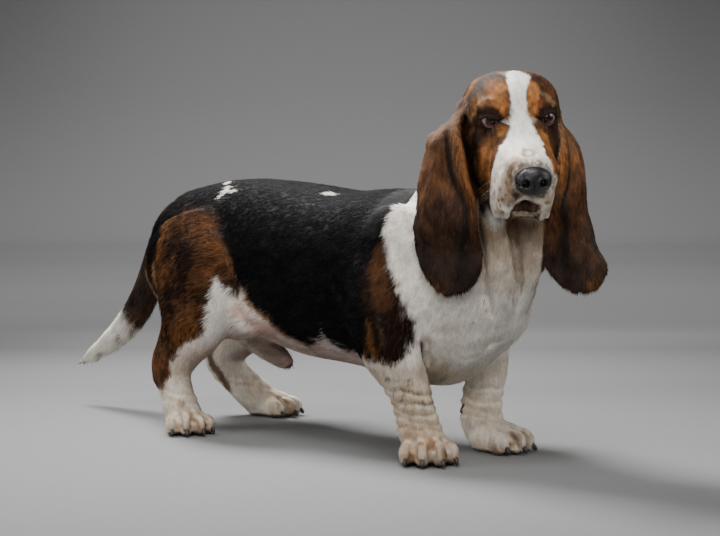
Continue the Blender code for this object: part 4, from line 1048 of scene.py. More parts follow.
def skin_form():
    """The whole skin, ears and all, as one closed form, finest round the eyes and mouth."""
    forms = torso_forms() + leg_forms() + head_forms()
    whole = fused("skin", forms + [ear("ear", EAR_RIGHT), ear("ear", EAR_LEFT)], SKIN_VOXEL)
    mesh = whole.data
    co = points_of(mesh)
    head_co = in_frame(HEAD, co)
    away, facts = EARS.find(co)
    on_ear = smoothstep(0.0062, 0.0046, away) * (facts[:, 2] > 0.04)
    face = np.linalg.norm(head_co - np.array([0.03, 0, -0.03]), axis=1)
    weight = np.clip((face - 0.075) / 0.07, 0.08, 1.0) * np.clip((co[:, 2] - 0.03) / 0.05, 0.08, 1.0)
    weight = weight * (1 - on_ear) + 0.10 * on_ear
    smooth(mesh, 44, weight * 0.6)
    before = points_of(mesh)
    carve(mesh)
    after = points_of(mesh)
    set_points(mesh, after + (before - after) * on_ear[:, None])
    smooth(mesh, 2, np.full(len(co), 0.35))
    co = points_of(mesh)
    white_front = (smoothstep(0.12, 0.20, co[:, 0])
                   * smoothstep(0.11, 0.15, co[:, 2]) * smoothstep(0.11, 0.14, face))
    locks = noise(co * (1.0, 1.0, 0.5), 0.013, 71) + 0.6 * noise(co * (1.0, 1.0, 0.6), 0.007, 72)
    inset = (0.0016 - 0.0010 * np.maximum(on_ear, smoothstep(0.11, 0.08, face))
             - 0.0015 * locks * white_front)
    inset *= smoothstep(0.0, 0.010, co[:, 2])
    set_points(mesh, co - normals_of(mesh) * inset[:, None])
    for reach in (0.027, 0.023):
        head_co = in_frame(HEAD, points_of(mesh))
        near = np.zeros(len(head_co), bool)
        for side in (-1, 1):
            x, y, z = EYE_CENTRE
            near |= np.linalg.norm(head_co - (x + 0.008, side * (y + 0.003), z), axis=1) < reach
        refine(mesh, near)
    head_co = in_frame(HEAD, points_of(mesh))
    refine(mesh, (head_co[:, 0] > 0.060) & (head_co[:, 2] > -0.125) & (np.abs(head_co[:, 1]) < 0.05))
    mesh = whole.data
    co = open_lids(points_of(mesh))
    co[:, 2] = np.maximum(co[:, 2], SKIN_FLOOR)
    set_points(mesh, co)
    for region, faces in ((on_body, BODY_FACES), (on_paw, PAW_FACES), (on_head, HEAD_FACES)):
        inside = region(points_of(whole.data))
        total = sum(len(face.vertices) - 2 for face in whole.data.polygons)
        index = np.empty(len(whole.data.loops), int)
        whole.data.loops.foreach_get("vertex_index", index)
        within = int(inside[index].sum() / len(index) * total)
        if within > faces:
            thin_out(whole, ~inside, total - within + faces)
    whole.data.shade_smooth()
    return whole


def limb_nearness(co):
    """For each leg and the tail: distance from its middle line and the place along it."""
    lines = {name: [row[:3] for row in rows] for name, rows in LEGS.items()}
    lines["tail"] = [row[:3] for row in TAIL]
    return {name: near_line(co, line) for name, line in lines.items()}


def body_fields(co):
    """Where on the dog each point lies, as soft shares of its named parts."""
    away, facts = EARS.find(co)
    head_co = in_frame(HEAD, co)
    ear_share = smoothstep(0.0065, 0.0048, away) * (facts[:, 2] > 0.03)
    head_share = smoothstep(-0.006, 0.012, (head_co[:, 0] + 0.135) * 0.58 + head_co[:, 2] * 0.81)
    limbs = limb_nearness(co)
    low = smoothstep(0.175, 0.145, co[:, 2])
    legs = {name: smoothstep(0.075, 0.060, limbs[name][0]) * low for name in LEGS}
    tail_share = smoothstep(0.050, 0.040, limbs["tail"][0]) * smoothstep(0.30, 0.36, limbs["tail"][1])
    return {
        "ear": ear_share, "ear_side": facts[:, 0], "ear_u": facts[:, 1], "ear_v": facts[:, 2],
        "ear_out": facts[:, 3:6], "head": head_share * (1 - ear_share), "legs": legs,
        "tail": tail_share, "tail_place": limbs["tail"][1],
    }


def between(a, b, share):
    """One colour or direction passing into another by each point's share."""
    return a + (b - a) * share[:, None]


def paint(mesh, colour):
    """Writes a colour for each point, where the materials find it."""
    rgba = np.concatenate([colour, np.ones((len(colour), 1))], 1)
    layer = mesh.color_attributes.new("coat", "FLOAT_COLOR", "POINT")
    layer.data.foreach_set("color", rgba.ravel())


def smooth_mesh(name, bm):
    """A smoothly shaded mesh from what was built."""
    mesh = bpy.data.meshes.new(name)
    bm.to_mesh(mesh)
    bm.free()
    mesh.shade_smooth()
    return mesh


def stroke(co, line, half_width, rough):
    """How strongly a painted line of the coat covers each point."""
    if len(line) == 1:
        away = np.linalg.norm(co - np.array(line[0]), axis=1)
    else:
        away, _ = near_line(co, line)
    return smoothstep(1.35, 0.60, away / half_width + rough)


def nearness(flat, places, reach):
    """A soft hill round each of the given places of a side view."""
    hill = np.zeros(len(flat))
    for place in places:
        hill = np.maximum(hill, np.exp(-(((flat - place) ** 2).sum(1) / reach**2)))
    return hill


def body_colour(co, normal):
    """Saddle, brown patches, white underparts and their ragged borders."""
    rough = 0.0050 * noise(co, 0.022, 1) + 0.0030 * noise(co, 0.008, 2) + 0.0022 * noise(co, 0.0030, 3)
    pick = noise(co * (0.5, 1.0, 0.8), 0.0018, 4) + 0.5 * noise(co, 0.0011, 6)
    cloud = noise(co, 0.024, 5)
    flat = co[:, [0, 2]].copy()
    flat[:, 0] += np.where(co[:, 1] > 0, 0.045 * smoothstep(0.22, 0.10, co[:, 2]), 0)
    outer = smoothstep(0.045, 0.062, np.abs(co[:, 1]))
    colour = np.repeat(WHITE[None], len(co), 0)
    colour = between(colour, colour * (0.92, 0.88, 0.82), 0.5 + 0.5 * cloud)
    under = (smoothstep(-0.2, -0.8, normal[:, 2])
             * smoothstep(0.20, 0.10, co[:, 0]) * smoothstep(0.07, 0.10, co[:, 2]))
    colour = between(colour, between(PINK[None] * 0.8, GREY[None] * 0.7, 0.5 + 0.5 * pick), under * 0.75)
    sheath = stroke(co, [(-0.160, -0.010, 0.138), (-0.124, -0.008, 0.117), (-0.105, -0.004, 0.103)],
                    0.018, 0.2 * pick)
    colour = between(colour, between(PINK[None] * 0.62, GREY[None] * 0.52,
                                     smoothstep(-0.4, 0.4, pick + cloud)), sheath * 0.75)
    colour = between(colour, GREY_BROWN[None] * 0.8,
                     stroke(co, [(-0.104, -0.001, 0.096)], 0.006, 0.2 * pick) * 0.8)
    # Dark pink along the fold at the top of the right foreleg: pink skin, partly painted shade in the fold.
    armpit = stroke(co, [(0.211, -0.086, 0.160), (0.207, -0.078, 0.142), (0.203, -0.066, 0.118)],
                    0.0075, 0.2 * pick)
    colour = between(colour, PINK[None] * (0.40, 0.24, 0.22), armpit * 0.75)
    flank = stroke(co * (1, 0, 1), [(-0.118, 0, 0.184), (-0.092, 0, 0.164), (-0.070, 0, 0.152)],
                   0.012, 0.2 * pick)
    colour = between(colour, PINK[None] * (0.75, 0.65, 0.65), flank * 0.6)

    thigh = inside_outline(flat, THIGH) + rough
    warm = nearness(flat, THIGH_BRIGHT, 0.024) - 0.8 * nearness(flat, THIGH_DARK, 0.024)
    share = np.clip(0.08 + 0.55 * warm + 0.16 * cloud, -1, 1)
    brown = between(DARK_BROWN[None] * 0.25, BROWN[None] * 0.60,
                    smoothstep(-0.35, 0.35, share + 0.75 * pick - 0.10))
    brown = between(brown, TAN[None] * 0.36, smoothstep(-0.15, 0.35, share + 0.60 * pick - 0.58))
    behind = smoothstep(-0.110, -0.124, co[:, 0]) * smoothstep(0.222, 0.240, co[:, 2])
    colour = between(colour, brown, np.maximum(smoothstep(-0.0030, 0.0030, thigh) * outer, behind))

    patch = inside_outline(co[:, [0, 2]], SHOULDER_PATCH) + rough
    side_view = co * (1, 0, 1)
    fur = between(DARK_BROWN[None] * 0.30, BROWN[None] * 0.50, smoothstep(0.2, 0.9, pick) * 0.7)
    fur = between(fur, BROWN[None] * 0.65, stroke(side_view, PATCH_TOP, 0.0110, 0.35 * pick) * 0.75)
    fur = between(fur, TAN[None] * 0.30, stroke(side_view, PATCH_STREAK, 0.0050, 0.3 * pick) * 0.8)
    # Painted highlight along the elbow fold.
    fur = between(fur, GREY_BROWN[None] * 0.6, stroke(side_view, ELBOW_FOLD_HIGHLIGHT, 0.0026, 0.3 * pick) * 0.6)
    colour = between(colour, fur, smoothstep(-0.0030, 0.0030, patch)
                     * smoothstep(0.068, 0.082, np.abs(co[:, 1])))

    saddle = inside_outline(co[:, [0, 2]], SADDLE) + rough
    edging = (smoothstep(-0.010, -0.005, saddle) * smoothstep(0.04, -0.06, co[:, 0])
              * smoothstep(0.23, 0.20, co[:, 2]))
    colour = between(colour, TAN[None] * 0.36, edging * outer * 0.9)
    edging = (smoothstep(-0.007, -0.003, saddle) * smoothstep(0.05, 0.10, co[:, 0])
              * smoothstep(0.16, 0.14, co[:, 2]))
    colour = between(colour, BROWN[None], edging * outer * 0.7)
    black = between(BLACK[None] * 0.35, BLACK[None] * 1.3, smoothstep(0.35, 1.0, pick))
    top = np.maximum(stroke(co, RUMP_BLACK, 0.034, 4.0 * rough / 0.036 + 0.45 * pick),
                     stroke(co * (1, -1, 1), RUMP_BLACK, 0.034, 4.0 * rough / 0.036 + 0.45 * pick))
    rump = (smoothstep(-0.320, -0.345, co[:, 0] + rough)
            * smoothstep(0.065, 0.045, np.abs(co[:, 1])) * (co[:, 2] > 0.20))
    spine = smoothstep(0.322, 0.338, co[:, 2] + 2 * rough) * smoothstep(-0.10, -0.16, co[:, 0])
    soft = 0.002 + 0.010 * smoothstep(-0.12, -0.18, co[:, 0]) * smoothstep(0.23, 0.27, co[:, 2])
    mingled = saddle + soft * 0.9 * (pick + 0.4 * cloud)
    colour = between(colour, black, np.maximum.reduce([smoothstep(-soft, soft, mingled), rump, top, spine]))
    colour = between(colour, PALE_TAN[None] * 0.9, stroke(co, RUMP_FRINGE, 0.0032, 0.3 * pick) * 0.75)
    for centre, radii in SADDLE_SPOTS:
        spot = 1 - np.linalg.norm((co - centre) / radii, axis=1) + 0.35 * noise(co, 0.004, 9)
        colour = between(colour, WHITE[None] * 0.9, smoothstep(-0.1, 0.25, spot) * (co[:, 2] > 0.3))
    return colour


def leg_colour(co, colour, fields):
    """Cream in the rings and on the toes, ticks on the foreleg, painted shade on the right foreleg, dark
    between the toes.
    """
    pick = noise(co, 0.0016, 10)
    low = smoothstep(0.140, 0.110, co[:, 2])
    for name, (levels, _) in LEG_RINGS.items():
        for level in levels:
            ring = np.exp(-(((co[:, 2] - level - 0.002 * noise(co, 0.02, 3)) / 0.0028) ** 2))
            colour = between(colour, colour * (0.82, 0.74, 0.64), fields["legs"][name] * ring * 0.5)
    cream = low * (0.30 + 0.5 * smoothstep(-0.3, 0.7, noise(co, 0.013, 11)))
    colour = between(colour, colour * (0.92, 0.83, 0.71), cream * (colour.mean(1) > 0.3))
    side_view = co[:, [0, 2]]
    for tick in TICKS:
        mark = np.linalg.norm((side_view - tick) / (0.0036, 0.0021), axis=1) + 0.25 * pick
        colour = between(colour, GREY[None] * 0.22, smoothstep(1.25, 0.6, mark) * (co[:, 1] < -0.06) * 0.85)
    ticks = smoothstep(0.55, 0.70, noise(co * (0.6, 0.6, 1.0), 0.0045, 12) + 0.30 * noise(co, 0.020, 13))
    right = (fields["legs"]["foreleg_right"] * smoothstep(0.074, 0.084, co[:, 2])
             * smoothstep(0.140, 0.122, co[:, 2]))
    colour = between(colour, GREY[None] * 0.35, ticks * right * 0.8)
    # Painted shade: the right foreleg darkened below the chest, as in the body's shadow.
    body_shade_on_foreleg = fields["legs"]["foreleg_right"] * smoothstep(0.150, 0.125, co[:, 2]) * (colour.mean(1) > 0.3)
    colour = between(colour, colour * (0.66, 0.61, 0.54),
                     body_shade_on_foreleg * (0.85 + 0.3 * noise(co, 0.020, 16)).clip(0, 1))
    back_stripe = stroke(co, HIND_STRIPE, 0.0085, 0.3 * pick)
    colour = between(colour, between(DARK_BROWN[None], BROWN[None], 0.5 + 0.5 * pick), back_stripe * 0.9)
    colour = between(colour, BROWN[None] * 0.9, stroke(co, HOCK_STRIPE, 0.0100, 0.35 * pick) * 0.85)
    for name in PAWS:
        p = in_frame(paw_frame(name), co)
        there = (np.abs(p[:, 0]) < 0.08) & (np.abs(p[:, 1]) < 0.06) & (co[:, 2] < 0.05)
        stain = (smoothstep(-0.010, 0.030, p[:, 0])
                 * smoothstep(-0.5, 0.5, noise(co, 0.009, 14) + 0.5 * noise(co, 0.004, 15)))
        colour = between(colour, CREAM[None] * (0.78, 0.66, 0.56), there * stain * 0.8)
        gap = np.zeros(len(co))
        for side in (-1, 0, 1):
            line = [(0.026, side * 0.0185, 0.036),
                    (0.046, side * 0.0230, 0.020), (0.050, side * 0.0240, 0.0)]
            away, _ = near_line(p, line)
            gap = np.maximum(gap, np.exp(-((away / 0.0048) ** 2))
                             * (0.45 + 0.55 * smoothstep(0.034, 0.014, co[:, 2])))
        colour = between(colour, DARK_BROWN[None] * 0.4, there * gap * 0.95)
        sole = smoothstep(0.009, 0.005, co[:, 2]) * there
        colour = between(colour, PAD[None] * 1.2, sole * 0.9)
    for stain in PAW_STAINS:
        colour = between(colour, CREAM[None] * (0.40, 0.28, 0.19),
                         stroke(co, [stain], 0.0060, 0.35 * pick) * 0.75)
    return colour


def head_colour(co):
    """Tan brows and cheeks with dark brown marks, a white blaze and muzzle, dark lips and rims, painted
    shade by the ears, eyes, muzzle sides and mouth, and painted highlights on the brows.
    """
    p = in_frame(HANG, co)
    y = np.abs(p[:, 1])
    rough = 0.0018 * noise(co, 0.010, 21) + 0.0012 * noise(co, 0.004, 22)
    pick = noise(p * (0.5, 1.0, 0.7), 0.0015, 23)
    streaks = noise(p * (0.30, 1.0, 0.45), 0.0030, 24)
    uneven = 0.16 * pick + 0.14 * streaks
    colour = between(BROWN[None] * 0.8, DARK_BROWN[None] * 0.8,
                     smoothstep(-0.5, 0.6, noise(co, 0.018, 25) + 0.5 * pick))
    for paint, half_width, strength, line in FACE_MARKS:
        shade = (paint[None] * (1 + 0.28 * streaks + 0.18 * pick)[:, None])
        colour = between(colour, shade, stroke(p, line, half_width, uneven) * strength)
    tuft = stroke(p, [(-0.060, -0.010, 0.046), (-0.048, -0.004, 0.048)], 0.012, uneven)
    colour = between(colour, GREY[None] * (0.75, 0.62, 0.50), tuft * 0.7)

    right, left = (np.interp(p[:, 0], np.array(BLAZE)[:, 0], np.array(BLAZE)[:, k]) for k in (1, 2))
    blaze = np.minimum(p[:, 1] - right, left - p[:, 1]) + rough
    blaze = np.where((p[:, 0] > -0.075) & ((p[:, 2] > -0.078) | (p[:, 0] > 0.06)), blaze, -1.0)
    heights, border = np.array(MUZZLE_WHITE).T
    flew = p[:, 0] - np.interp(p[:, 2], heights, border) + 1.5 * rough
    flew = np.where((p[:, 1] < 0) | (p[:, 2] < -0.036), flew, -1.0)
    heights, border = np.array(MUZZLE_LEFT_WHITE).T
    left_flew = p[:, 0] - np.interp(p[:, 2], heights, border) + 1.5 * rough
    flew = np.where(p[:, 1] < 0, flew, left_flew)
    white = np.maximum(smoothstep(-0.0020, 0.0016, blaze + 0.0012 * streaks),
                       smoothstep(-0.0030, 0.0030, flew))
    pale = between(WHITE[None] * 1.02, WHITE[None] * (0.84, 0.78, 0.70),
                   smoothstep(0.052, 0.085, p[:, 0]) * (0.5 + 0.4 * noise(co, 0.011, 27)))
    low = smoothstep(-0.030, -0.070, p[:, 2]) * smoothstep(-0.4, 0.5, noise(co, 0.008, 28) + 0.4 * pick)
    pale = between(pale, CREAM[None] * (0.56, 0.44, 0.37), low * np.where(p[:, 1] < 0, 0.75, 0.50))
    # Painted shade: the white greyed on the sides of the muzzle, which turn away from the light.
    side = smoothstep(0.026, 0.040, y) * smoothstep(-0.020, -0.050, p[:, 2])
    pale = between(pale, GREY[None] * (1.15, 1.08, 1.0), side * 0.45)
    colour = between(colour, pale, white)
    for paint, half_width, strength, line in MUZZLE_MARKS:
        colour = between(colour, paint[None], stroke(p, line, half_width, uneven) * strength)
    for fleck in FLECKS:
        colour = between(colour, CREAM[None] * (0.30, 0.20, 0.14),
                         stroke(p, [fleck], 0.0026, 2 * uneven) * 0.75)
    ring = np.abs(np.linalg.norm((p[:, :2] - (0.089, -0.002)) / (0.0110, 0.0085), axis=1)
                  - 0.75 + 0.10 * pick)
    colour = between(colour, CREAM[None] * (0.50, 0.38, 0.32),
                     smoothstep(0.55, 0.12, ring) * (p[:, 2] > -0.03) * 0.7)
    for line, *_ in MOUTH_CREASES:
        for track in (line, mirrored(line)):
            colour = between(colour, LIP[None] * 0.7, stroke(p, track, 0.0036, uneven) * 0.9)
    # The dark of the mouth between the lips: dark lip skin, partly painted shade in the cleft.
    chin = smoothstep(0.070, 0.084, p[:, 0]) * smoothstep(0.019, 0.014, y + 0.5 * rough)
    within = smoothstep(-0.070, -0.075, p[:, 2]) * smoothstep(-0.090, -0.086, p[:, 2])
    colour = between(colour, CREAM[None] * (0.17, 0.13, 0.115), chin * within)
    colour = between(colour, LIP[None] * 0.5,
                     chin * np.exp(-(((p[:, 2] + 0.0855 + 40 * y**2) / 0.0018) ** 2)))
    band = chin * smoothstep(-0.087, -0.089, p[:, 2] + rough) * smoothstep(-0.0935, -0.0915, p[:, 2])
    colour = between(colour, CREAM[None] * (0.62, 0.53, 0.47), band * 0.85)
    # Painted shadow under the lower lip.
    band = chin * smoothstep(-0.0920, -0.0950, p[:, 2]) * smoothstep(-0.108, -0.102, p[:, 2])
    colour = between(colour, DARK_BROWN[None], band * 0.8)
    head_co = in_frame(HEAD, co)
    socket = smoothstep(EYE_RADIUS + 0.0085, EYE_RADIUS + 0.0050, from_eye(head_co) + rough)
    colour = between(colour, DARK_BROWN[None] * 0.7, socket * 0.85)
    nose = np.linalg.norm((head_co - NOSE_CENTRE) / NOSE_RADII, axis=1)
    colour = between(colour, GREY_BROWN[None] * (1.0, 1.05, 1.2),
                     smoothstep(1.38, 1.05, nose + 1.2 * uneven) * 0.75)
    under = (smoothstep(-0.100, -0.112, p[:, 2])
             * smoothstep(0.040, 0.026, y + rough) * smoothstep(0.0, 0.02, p[:, 0]))
    return between(colour, WHITE[None] * 0.85, under)


def ear_colour(co, normal, fields):
    """Reddish brown above and nearly black below, tan on the tip and on the front roll, partly a painted
    highlight there; painted shade in the valley and the groove, and painted light on the left ear.
    """
    u = fields["ear_u"]
    v = fields["ear_v"]
    pick = noise(co * (1, 1, 0.5), 0.0016, 31)
    hair = noise(co * (1, 1, 0.35), 0.0034, 32)
    cloud = noise(co, 0.026, 33) + 0.5 * noise(co, 0.009, 34)
    red = between(BROWN[None] * 0.62, TAN[None] * 0.33, smoothstep(0.1, 0.9, 0.6 * hair + 0.5 * pick))
    red = between(red, GREY_BROWN[None] * 0.9, smoothstep(0.35, 0.15, v) * 0.35)
    dark = smoothstep(0.20, 0.75, v + 0.12 * cloud)
    colour = between(red, DARK_BROWN[None] * 0.8, np.clip(0.15 + 0.80 * dark + 0.25 * cloud, 0, 1))
    colour = between(colour, BLACK[None] * 1.5, smoothstep(0.55, 0.95, v + 0.10 * cloud) * 0.6)
    # Tan on the front roll: tan hair, partly a painted highlight on the crest of the fold.
    roll = smoothstep(0.26, 0.14, u) * smoothstep(0.10, 0.22, v) * smoothstep(0.78, 0.50, v)
    colour = between(colour, TAN[None] * 0.42, roll * smoothstep(-0.5, 0.5, pick + 0.6 * hair) * 0.85)
    # Painted shade in the valley behind the front fold.
    painted_fold_shade = np.exp(-(((u - 0.29) / 0.075) ** 2)) * smoothstep(0.12, 0.24, v) * smoothstep(0.95, 0.75, v)
    colour = between(colour, BLACK[None] * 0.6, painted_fold_shade * 0.92)
    # Painted shade in the groove near the back edge.
    groove = np.exp(-(((u - 0.84) / 0.05) ** 2)) * smoothstep(0.40, 0.52, v) * smoothstep(0.90, 0.78, v)
    colour = between(colour, BLACK[None] * 1.3, groove * 0.7)
    tip = smoothstep(0.86, 0.96, v + 0.03 * cloud) * smoothstep(0.45, 0.75, u)
    colour = between(colour, TAN[None] * 0.26, tip * smoothstep(-0.4, 0.5, pick) * 0.75)
    shoulder = smoothstep(0.16, 0.06, v) * smoothstep(0.35, 0.65, u)
    colour = between(colour, TAN[None] * 0.45, shoulder * smoothstep(-0.5, 0.5, pick) * 0.7)
    inner = smoothstep(0.2, -0.4, (normal * fields["ear_out"]).sum(1))
    colour = between(colour, DARK_BROWN[None] * (1.1, 1.0, 1.0), inner * 0.6)
    # Painted light: the left ear's colour is raised more than the right's, standing in for the light that
    # reaches it less.
    return colour * np.where(fields["ear_side"] < 0, 1.35, 2.1)[:, None] * (1.0, 0.97, 0.92)


def tail_colour(co, normal, colour, fields):
    """Black above and brown below, with a white end."""
    place = fields["tail_place"] + 0.02 * noise(co, 0.010, 41) + 0.014 * noise(co, 0.004, 42)
    under = smoothstep(0.1, -0.6, normal[:, 2] + normal[:, 0] * 0.5 + 0.3 * noise(co, 0.01, 43))
    dark = between(BLACK[None] * 1.8, BROWN[None] * 0.9, 0.12 + under * 0.7)
    shaft = between(dark, WHITE[None] * (0.96, 0.93, 0.88), smoothstep(0.56, 0.62, place))
    return between(colour, shaft, fields["tail"])


def coat_colour(co, normal, fields):
    """The coat's colour at each point, with the shade in its folds and its clumps of hair."""
    colour = body_colour(co, normal)
    colour = leg_colour(co, colour, fields)
    colour = tail_colour(co, normal, colour, fields)
    p = in_frame(HANG, co)
    # The throat under the head, darker and warmer: partly a cream tone, partly painted shade cast by the
    # head.
    throat = (smoothstep(0.24, 0.28, co[:, 0]) * smoothstep(0.36, 0.32, co[:, 2])
              * smoothstep(0.22, 0.27, co[:, 2]))
    colour = between(colour, colour * (0.80, 0.72, 0.64), throat * (1 - fields["head"]))
    # Under the jaw: dark brown hair, partly painted shade cast by the head.
    jaw = (smoothstep(0.272, 0.318, co[:, 2] + 0.008 * noise(co, 0.012, 57))
           * smoothstep(0.20, 0.245, co[:, 0]))
    jaw *= smoothstep(-0.060, -0.025, p[:, 0])
    colour = between(colour, colour * (0.38, 0.30, 0.235), jaw * (1 - fields["head"]))
    # Painted shade along the deepest folds of the throat.
    for line, width, depth in BODY_CREASES:
        if depth > 0.0095:
            painted_fold_shade = stroke(co, line, width * 0.55, 0.25 * noise(co, 0.008, 54))
            colour = between(colour, colour * (0.50, 0.40, 0.32), painted_fold_shade * 0.75)
    behind_jaw = np.linalg.norm((np.stack([p[:, 0], np.abs(p[:, 1]), p[:, 2]], 1) - (-0.030, 0.062, -0.085))
                                / (0.060, 0.034, 0.056), axis=1)
    dark = smoothstep(1.15, 0.85, behind_jaw + 0.15 * noise(co, 0.010, 51)) * (1 - fields["ear"])
    colour = between(colour, DARK_BROWN[None] * 0.8, dark)
    ragged = 0.006 * noise(co, 0.012, 58) + 0.003 * noise(co, 0.004, 59)
    nape = smoothstep(-0.050, -0.070, p[:, 0]) * smoothstep(-0.176, -0.168, p[:, 0] + ragged)
    nape *= smoothstep(-0.078, -0.072, p[:, 2] + ragged) * (1 - fields["ear"])
    head_share = np.maximum(smoothstep(0.2, 0.8, fields["head"]), nape)
    colour = between(colour, head_colour(co), head_share)
    colour = between(colour, ear_colour(co, normal, fields), fields["ear"])
    hanging = np.clip(fields["ear"] + sum(fields["legs"].values()), 0, 1)[:, None]
    stretch = (0.40, 1.0, 0.75) + ((1.0, 1.0, 0.40) - np.array((0.40, 1.0, 0.75))) * hanging
    clumps = 0.6 * noise(co * stretch, 0.0042, 52) + 0.4 * noise(co * stretch, 0.0085, 53)
    locks = 0.7 * noise(p * (0.30, 1.0, 0.60), 0.0026, 55) + 0.5 * noise(p * (0.30, 1.0, 0.60), 0.0060, 56)
    clumps = clumps + (locks - clumps) * fields["head"]
    amount = np.interp(colour.mean(1), (0.0, 0.10, 0.5, 0.8), (0.80, 0.62, 0.34, 0.26))
    return np.clip(colour * (1 + amount * clumps)[:, None], 0.0015, 0.95)


def lie_of_coat(co, normal, fields):
    """The way the hair points at each point, along the skin."""
    p = in_frame(HEAD, co)
    forward = smoothstep(0.10, 0.24, co[:, 0])
    lie = between(np.array([[-1.0, 0.0, -0.45]]), np.array([[-0.45, 0.0, -1.0]]), forward)
    lie[:, 2] -= 0.5 * smoothstep(-0.14, -0.24, co[:, 0])
    for name, share in fields["legs"].items():
        lie = between(lie, np.array([[-0.25, 0.0, -1.0]]), share)
        toe = np.array(paw_frame(name).to_3x3() @ Vector((1.0, 0.0, -0.7)))
        near = share * smoothstep(0.050, 0.032, co[:, 2])
        lie = between(lie, toe[None], near)
    line = np.array([row[:3] for row in TAIL])
    steps = np.r_[0, np.cumsum(np.linalg.norm(np.diff(line, axis=0), axis=1))]
    steps /= steps[-1]
    ahead = np.stack([np.interp(fields["tail_place"] + 0.04, steps, line[:, k]) for k in range(3)], 1)
    behind = np.stack([np.interp(fields["tail_place"] - 0.04, steps, line[:, k]) for k in range(3)], 1)
    lie = between(lie, (ahead - behind) / 0.03, fields["tail"])
    cheek = smoothstep(0.012, 0.040, np.abs(p[:, 1])) * smoothstep(0.03, -0.02, p[:, 2])
    face = between(np.array([[-1.0, 0.0, 0.0]]), np.array([[-0.75, 0.0, -0.9]]), cheek)
    face[:, 1] += 0.25 * np.sign(p[:, 1])
    face = face @ np.array(HEAD.to_3x3()).T
    lie = between(lie, face, fields["head"])
    lie = between(lie, np.array([[0.0, 0.0, -1.0]]), fields["ear"])
    lie -= (lie * normal).sum(1)[:, None] * normal
    return lie / np.maximum(np.linalg.norm(lie, axis=1), 1e-6)[:, None]


def hair_length(co, normal, fields):
    """Shortest on the face and the paws, longest on the brush of the tail."""
    p = in_frame(HEAD, co)
    length = np.full(len(co), 0.0105) - 0.0020 * smoothstep(0.10, 0.16, co[:, 0])
    length += 0.0030 * smoothstep(0.20, 0.26, co[:, 0]) * smoothstep(0.36, 0.28, co[:, 2])
    length += 0.0040 * smoothstep(-0.27, -0.33, co[:, 0])
    legs = sum(fields["legs"].values())
    length = length + (0.0070 - length) * np.clip(legs, 0, 1)
    length = length + (0.0048 - length) * smoothstep(0.050, 0.035, co[:, 2])
    brush = 0.011 + 0.009 * np.sin(math.pi * np.clip(fields["tail_place"], 0, 1))
    brush += 0.006 * smoothstep(0.7, 0.95, fields["tail_place"])
    under = smoothstep(0.5, -0.5, normal[:, 2])
    length = length + (brush * (0.5 + 0.5 * under) - length) * fields["tail"]
    face = np.interp(p[:, 0], (-0.10, -0.03, 0.03, 0.10), (0.0080, 0.0050, 0.0040, 0.0030))
    face = face * (0.60 + 0.40 * smoothstep(0.018, 0.034, from_eye(p)))
    length = length + (face - length) * fields["head"]
    return length + (0.0075 - length) * fields["ear"]


def hair_density(co, fields):
    """Tufts to a square metre."""
    p = in_frame(HEAD, co)
    density = np.full(len(co), BODY_TUFTS)
    density += LEG_TUFTS * np.clip(sum(fields["legs"].values()), 0, 1)
    density += PAW_TUFTS * smoothstep(0.050, 0.035, co[:, 2])
    density = density + (HEAD_TUFTS - density) * fields["head"]
    density = density + (EAR_TUFTS - density) * fields["ear"]
    density += TAIL_TUFTS * fields["tail"]
    density *= smoothstep(0.0150, 0.0175, from_eye(p))
    nose = np.linalg.norm((p - NOSE_CENTRE) / NOSE_RADII, axis=1)
    density *= smoothstep(1.08, 1.25, nose)
    return density * smoothstep(0.004, 0.008, co[:, 2])


def unwrap(co, name):
    """Places on an unwrap of one region of the skin: round its middle line, and along it."""
    if name.startswith("ear"):
        frame_of = EAR_FRAME
        start, end = np.array((-0.05, 0.0, 0.03)), np.array((-0.05, 0.0, -0.23))
    elif name == "head":
        frame_of = HEAD
        start, end = np.array((-0.15, 0.0, -0.02)), np.array((0.13, 0.0, -0.05))
    else:
        frame_of = Matrix.Identity(4)
        start, end = UNWRAP_LINES[name]
        start, end = np.array(start), np.array(end)
    p = in_frame(frame_of, co) - start
    axis = (end - start) / np.linalg.norm(end - start)
    along = p @ axis / np.linalg.norm(end - start)
    side = np.cross(axis, (0.3, 1.0, 0.2))
    side /= np.linalg.norm(side)
    up = np.cross(axis, side)
    around = np.arctan2(p @ side, p @ up) / (2 * math.pi) + 0.5
    return np.stack([0.01 + 0.98 * around, 0.01 + 0.98 * np.clip(along, 0, 1)], 1)


UNWRAP_LINES = {
    "trunk_front": ((0.33, 0.0, 0.20), (0.06, 0.0, 0.24)),
    "trunk_middle": ((0.08, 0.0, 0.24), (-0.16, 0.0, 0.25)),
    "trunk_rear": ((-0.10, 0.0, 0.25), (-0.38, 0.0, 0.26)),
    "neck": ((0.20, 0.0, 0.24), (0.30, -0.03, 0.50)),
    "forelegs": ((0.20, 0.0, 0.20), (0.20, 0.0, 0.0)),
    "hindlegs": ((-0.23, 0.0, 0.20), (-0.23, 0.0, 0.0)),
    "tail": ((-0.33, 0.0, 0.30), (-0.56, 0.0, 0.06)),
}


def region_of(co, fields):
    """The coat piece that each root belongs to."""
    names = np.full(len(co), "trunk_middle", dtype=object)
    names[co[:, 0] > 0.06] = "trunk_front"
    names[co[:, 0] < -0.13] = "trunk_rear"
    neck = (co[:, 0] > 0.12) & (co[:, 2] > 0.30)
    names[neck] = "neck"
    legs = co[:, 2] < 0.14
    share = np.clip(sum(fields["legs"].values()), 0, 1) > 0.5
    names[legs & share & (co[:, 0] > 0)] = "forelegs"
    names[legs & share & (co[:, 0] < 0)] = "hindlegs"
    names[fields["tail"] > 0.5] = "tail"
    names[fields["head"] > 0.5] = "head"
    names[(fields["ear"] > 0.5) & (fields["ear_side"] < 0)] = "ear_right"
    names[(fields["ear"] > 0.5) & (fields["ear_side"] > 0)] = "ear_left"
    return names


